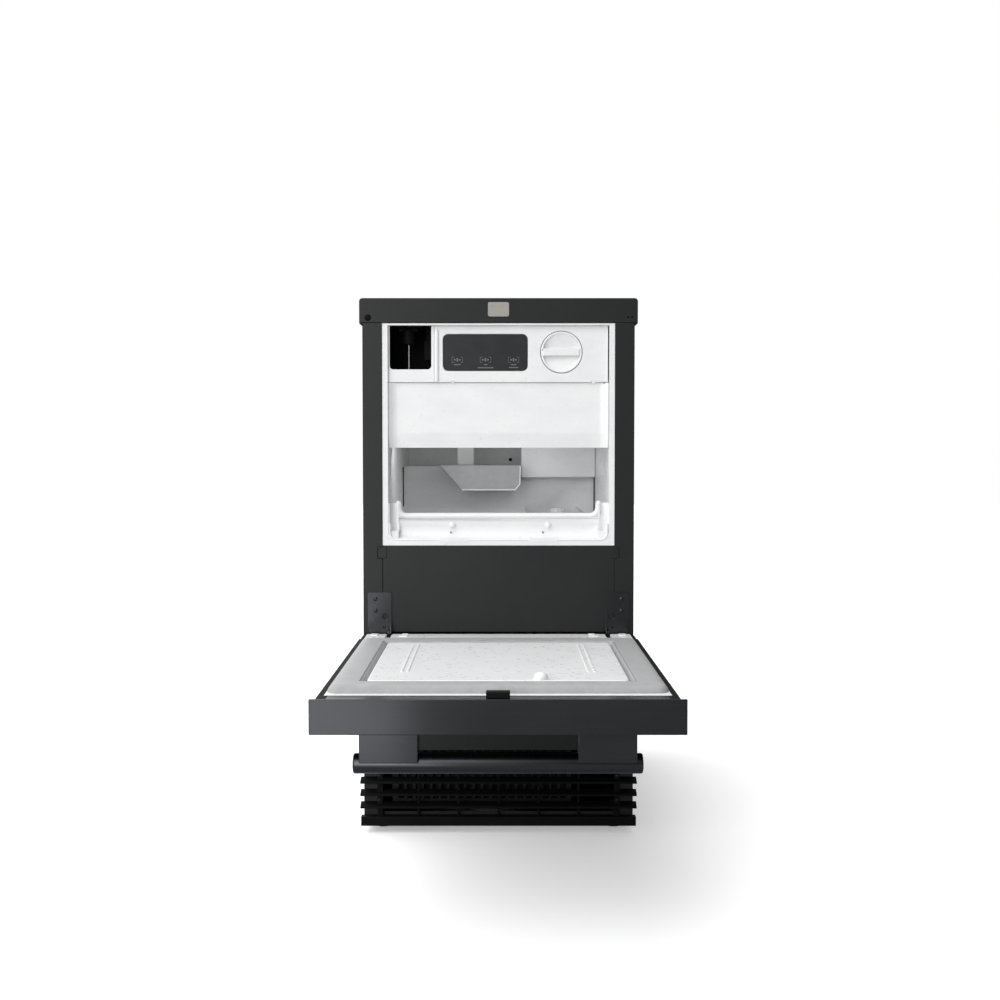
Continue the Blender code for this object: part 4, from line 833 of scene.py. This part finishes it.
def filter_knob():
    """Round cap with a bar grip left standing between two sloping dishes."""
    cap_x, cap_y, cap_z = span("filter_cap")
    x, z = sum(cap_x) / 2, sum(cap_z) / 2
    radius = (cap_x[1] - cap_x[0]) / 2
    face = cap_y[0] + 1
    body = rod("y", (x, face, z), radius, cap_y[1] - face, 96, 1.2)
    dish_radius = radius - DISH_RIM
    dishes = []
    for side in (-1, 1):
        outline = [(x + dish_radius * math.cos(turn), z + side * dish_radius * math.sin(turn))
                   for turn in [math.radians(12 + 156 * step / 36) for step in range(37)]]
        dish = slab(outline, "y", face - 3, face + 1.2)
        for v in dish.verts:
            if v.co.y > face:
                v.co.y += DISH_SLOPE * (dish_radius - abs(v.co.z - z))
        dishes.append(dish)
    grip = cuboid((x - radius + 4.4, x + radius - 4.4), (cap_y[0], face + 2), around(z, GRIP_HALF))
    knob = combined(body, [grip], dishes)
    piece("filter_knob", knob, "filter", FINISHES["white_plastic"], ("filter_cap",), 0.7, 3)


# ---------------------------------------------------------------- cover

FOLD_HEIGHT = 21        # lower edge to the fold
FOLD_FROM, LIP_FROM = 0.25, 0.1     # shares of the sheet, from its lower edge
SWEEP, SWEEP_FORWARD = 13.0, 7.0
FOLD_BACK, LIP_BACK = 4.0, 14


def cover():
    """Cover under the controls: its ends sweep forward and its lower edge folds back."""
    x, y, z = span("evaporator_cover")
    fold = z[0] + FOLD_HEIGHT
    bm = bmesh.new()
    bmesh.ops.create_grid(bm, x_segments=72, y_segments=40, size=1)
    for v in bm.verts:
        across, up = x[1] * v.co.x, (v.co.y + 1) / 2
        forward = SWEEP_FORWARD * (max(0.0, abs(across) - (x[1] - SWEEP)) / SWEEP) ** 2
        if up > FOLD_FROM:
            height, back = fold + (z[1] - fold) * (up - FOLD_FROM) / (1 - FOLD_FROM), 0.0
        elif up > LIP_FROM:
            share = (FOLD_FROM - up) / (FOLD_FROM - LIP_FROM)
            height, back = fold - (fold - z[0]) * share, FOLD_BACK * share
        else:
            share = (LIP_FROM - up) / LIP_FROM
            height, back = z[0] + 0.8 * share, FOLD_BACK + LIP_BACK * share
        v.co = (across, y[0] + 1.0 + back - forward * min(1, up / LIP_FROM), height)
    bmesh.ops.recalc_face_normals(bm, faces=bm.faces)
    bmesh.ops.solidify(bm, geom=bm.faces[:] + bm.edges[:] + bm.verts[:], thickness=2.2)
    bmesh.ops.recalc_face_normals(bm, faces=bm.faces)
    piece("chamber_cover", bm, "cabinet", FINISHES["white_plastic"], ("evaporator_cover",),
          sharp=50)


# ---------------------------------------------------------------- studio

FLOOR_HALF = 12         # metres, as are all sizes in this section
CAMERA_PLACE = (0.0024, -2.0863, 0.625)
CAMERA_TILT = 2.336     # degrees below level


def floor():
    """Wide floor in the studio's own paint."""
    bm = bmesh.new()
    bmesh.ops.create_grid(bm, x_segments=8, y_segments=8, size=FLOOR_HALF)
    mesh = bpy.data.meshes.new("studio_floor")
    bm.to_mesh(mesh)
    bm.free()
    mesh.materials.append(floor_paint())
    ground = bpy.data.objects.new("studio_floor", mesh)
    bpy.context.scene.collection.objects.link(ground)


def room():
    """White room that is brighter on the left and overhead; the camera sees an even white."""
    world = bpy.data.worlds.new("studio")
    bpy.context.scene.world = world
    world.use_nodes = True
    tree = world.node_tree
    walls = tree.nodes["Background"]
    walls.inputs["Color"].default_value = (1, 1, 1, 1)
    facing = add(tree, "ShaderNodeTexCoord", {}, {}).outputs["Generated"]
    ways = add(tree, "ShaderNodeSeparateXYZ", {}, {"Vector": facing})
    side = add(tree, "ShaderNodeMapRange", {"interpolation_type": "SMOOTHSTEP"},
               {"Value": ways.outputs["X"], "From Min": -0.2, "From Max": 0.2, "To Min": 1.05, "To Max": 0.2})
    ceiling = add(tree, "ShaderNodeMapRange", {},
                  {"Value": ways.outputs["Z"], "From Min": 0.15, "From Max": 0.8, "To Min": 1, "To Max": 2})
    level = add(tree, "ShaderNodeMath", {"operation": "MULTIPLY"},
                {0: side.outputs["Result"], 1: ceiling.outputs["Result"]})
    tree.links.new(level.outputs["Value"], walls.inputs["Strength"])
    backdrop = add(tree, "ShaderNodeBackground", {}, {"Color": (1, 1, 1, 1), "Strength": 1.0})
    seen = add(tree, "ShaderNodeLightPath", {}, {}).outputs["Is Camera Ray"]
    mix = add(tree, "ShaderNodeMixShader", {}, {0: seen, 1: walls.outputs[0], 2: backdrop.outputs[0]})
    tree.links.new(mix.outputs[0], tree.nodes["World Output"].inputs["Surface"])


def lamp(name, kind, energy, place, target, size=None):
    """A lamp at place, aimed at target; an area lamp has a (width, height) size."""
    data = bpy.data.lights.new(name, kind)
    data.energy = energy
    if size:
        data.shape = "RECTANGLE"
        data.size, data.size_y = size
    hung = bpy.data.objects.new(name, data)
    hung.location = place
    hung.rotation_euler = (Vector(target) - Vector(place)).to_track_quat("-Z", "Y").to_euler()
    hung.visible_camera = False
    bpy.context.scene.collection.objects.link(hung)
    return data


def lamps():
    """Soft key, a large softbox on the left, a lamp under the cover and a low strip for the door's face."""
    lamp("key", "SUN", 0.6, (-2.0, -2.6, 3.2), (0, 0, 0.4)).angle = math.radians(50)
    lamp("left_softbox", "AREA", 32, (-1.6, -4.4, 1.05), (-0.2, -0.2, 0.6), (1.5, 2.1))
    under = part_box("evaporator_cover")[0]
    lamp_y, lamp_z = under.y, under.z + 0.006
    lamp("bin_lamp", "AREA", 0.14, (-0.035, lamp_y + 0.1, lamp_z), (-0.045, lamp_y + 0.22, lamp_z - 0.13),
         (0.3, 0.1))
    lamp("low_strip", "AREA", 1.0, (-0.44, -1.53, 0.1), (-0.44, 0, 0.1), (0.5, 0.2))


def camera():
    """Camera straight in front, a little above the middle and tilted down."""
    lens = bpy.data.cameras.new("camera")
    lens.sensor_width = 36
    lens.lens = 46.33
    lens.clip_end = 50
    eye = bpy.data.objects.new("camera", lens)
    eye.location = CAMERA_PLACE
    eye.rotation_euler = (math.radians(90 - CAMERA_TILT), 0, 0)
    bpy.context.scene.collection.objects.link(eye)
    bpy.context.scene.camera = eye
    bpy.context.scene.view_settings.view_transform = "Standard"


for node, cad in frame["nodes"].items():
    for slot in cad.material_slots:
        slot.material = FINISHES[NODE_SLOT[node]]

cabinet()
hinges()
door()
compartment()
controls()
cover()
floor()
room()
lamps()
camera()
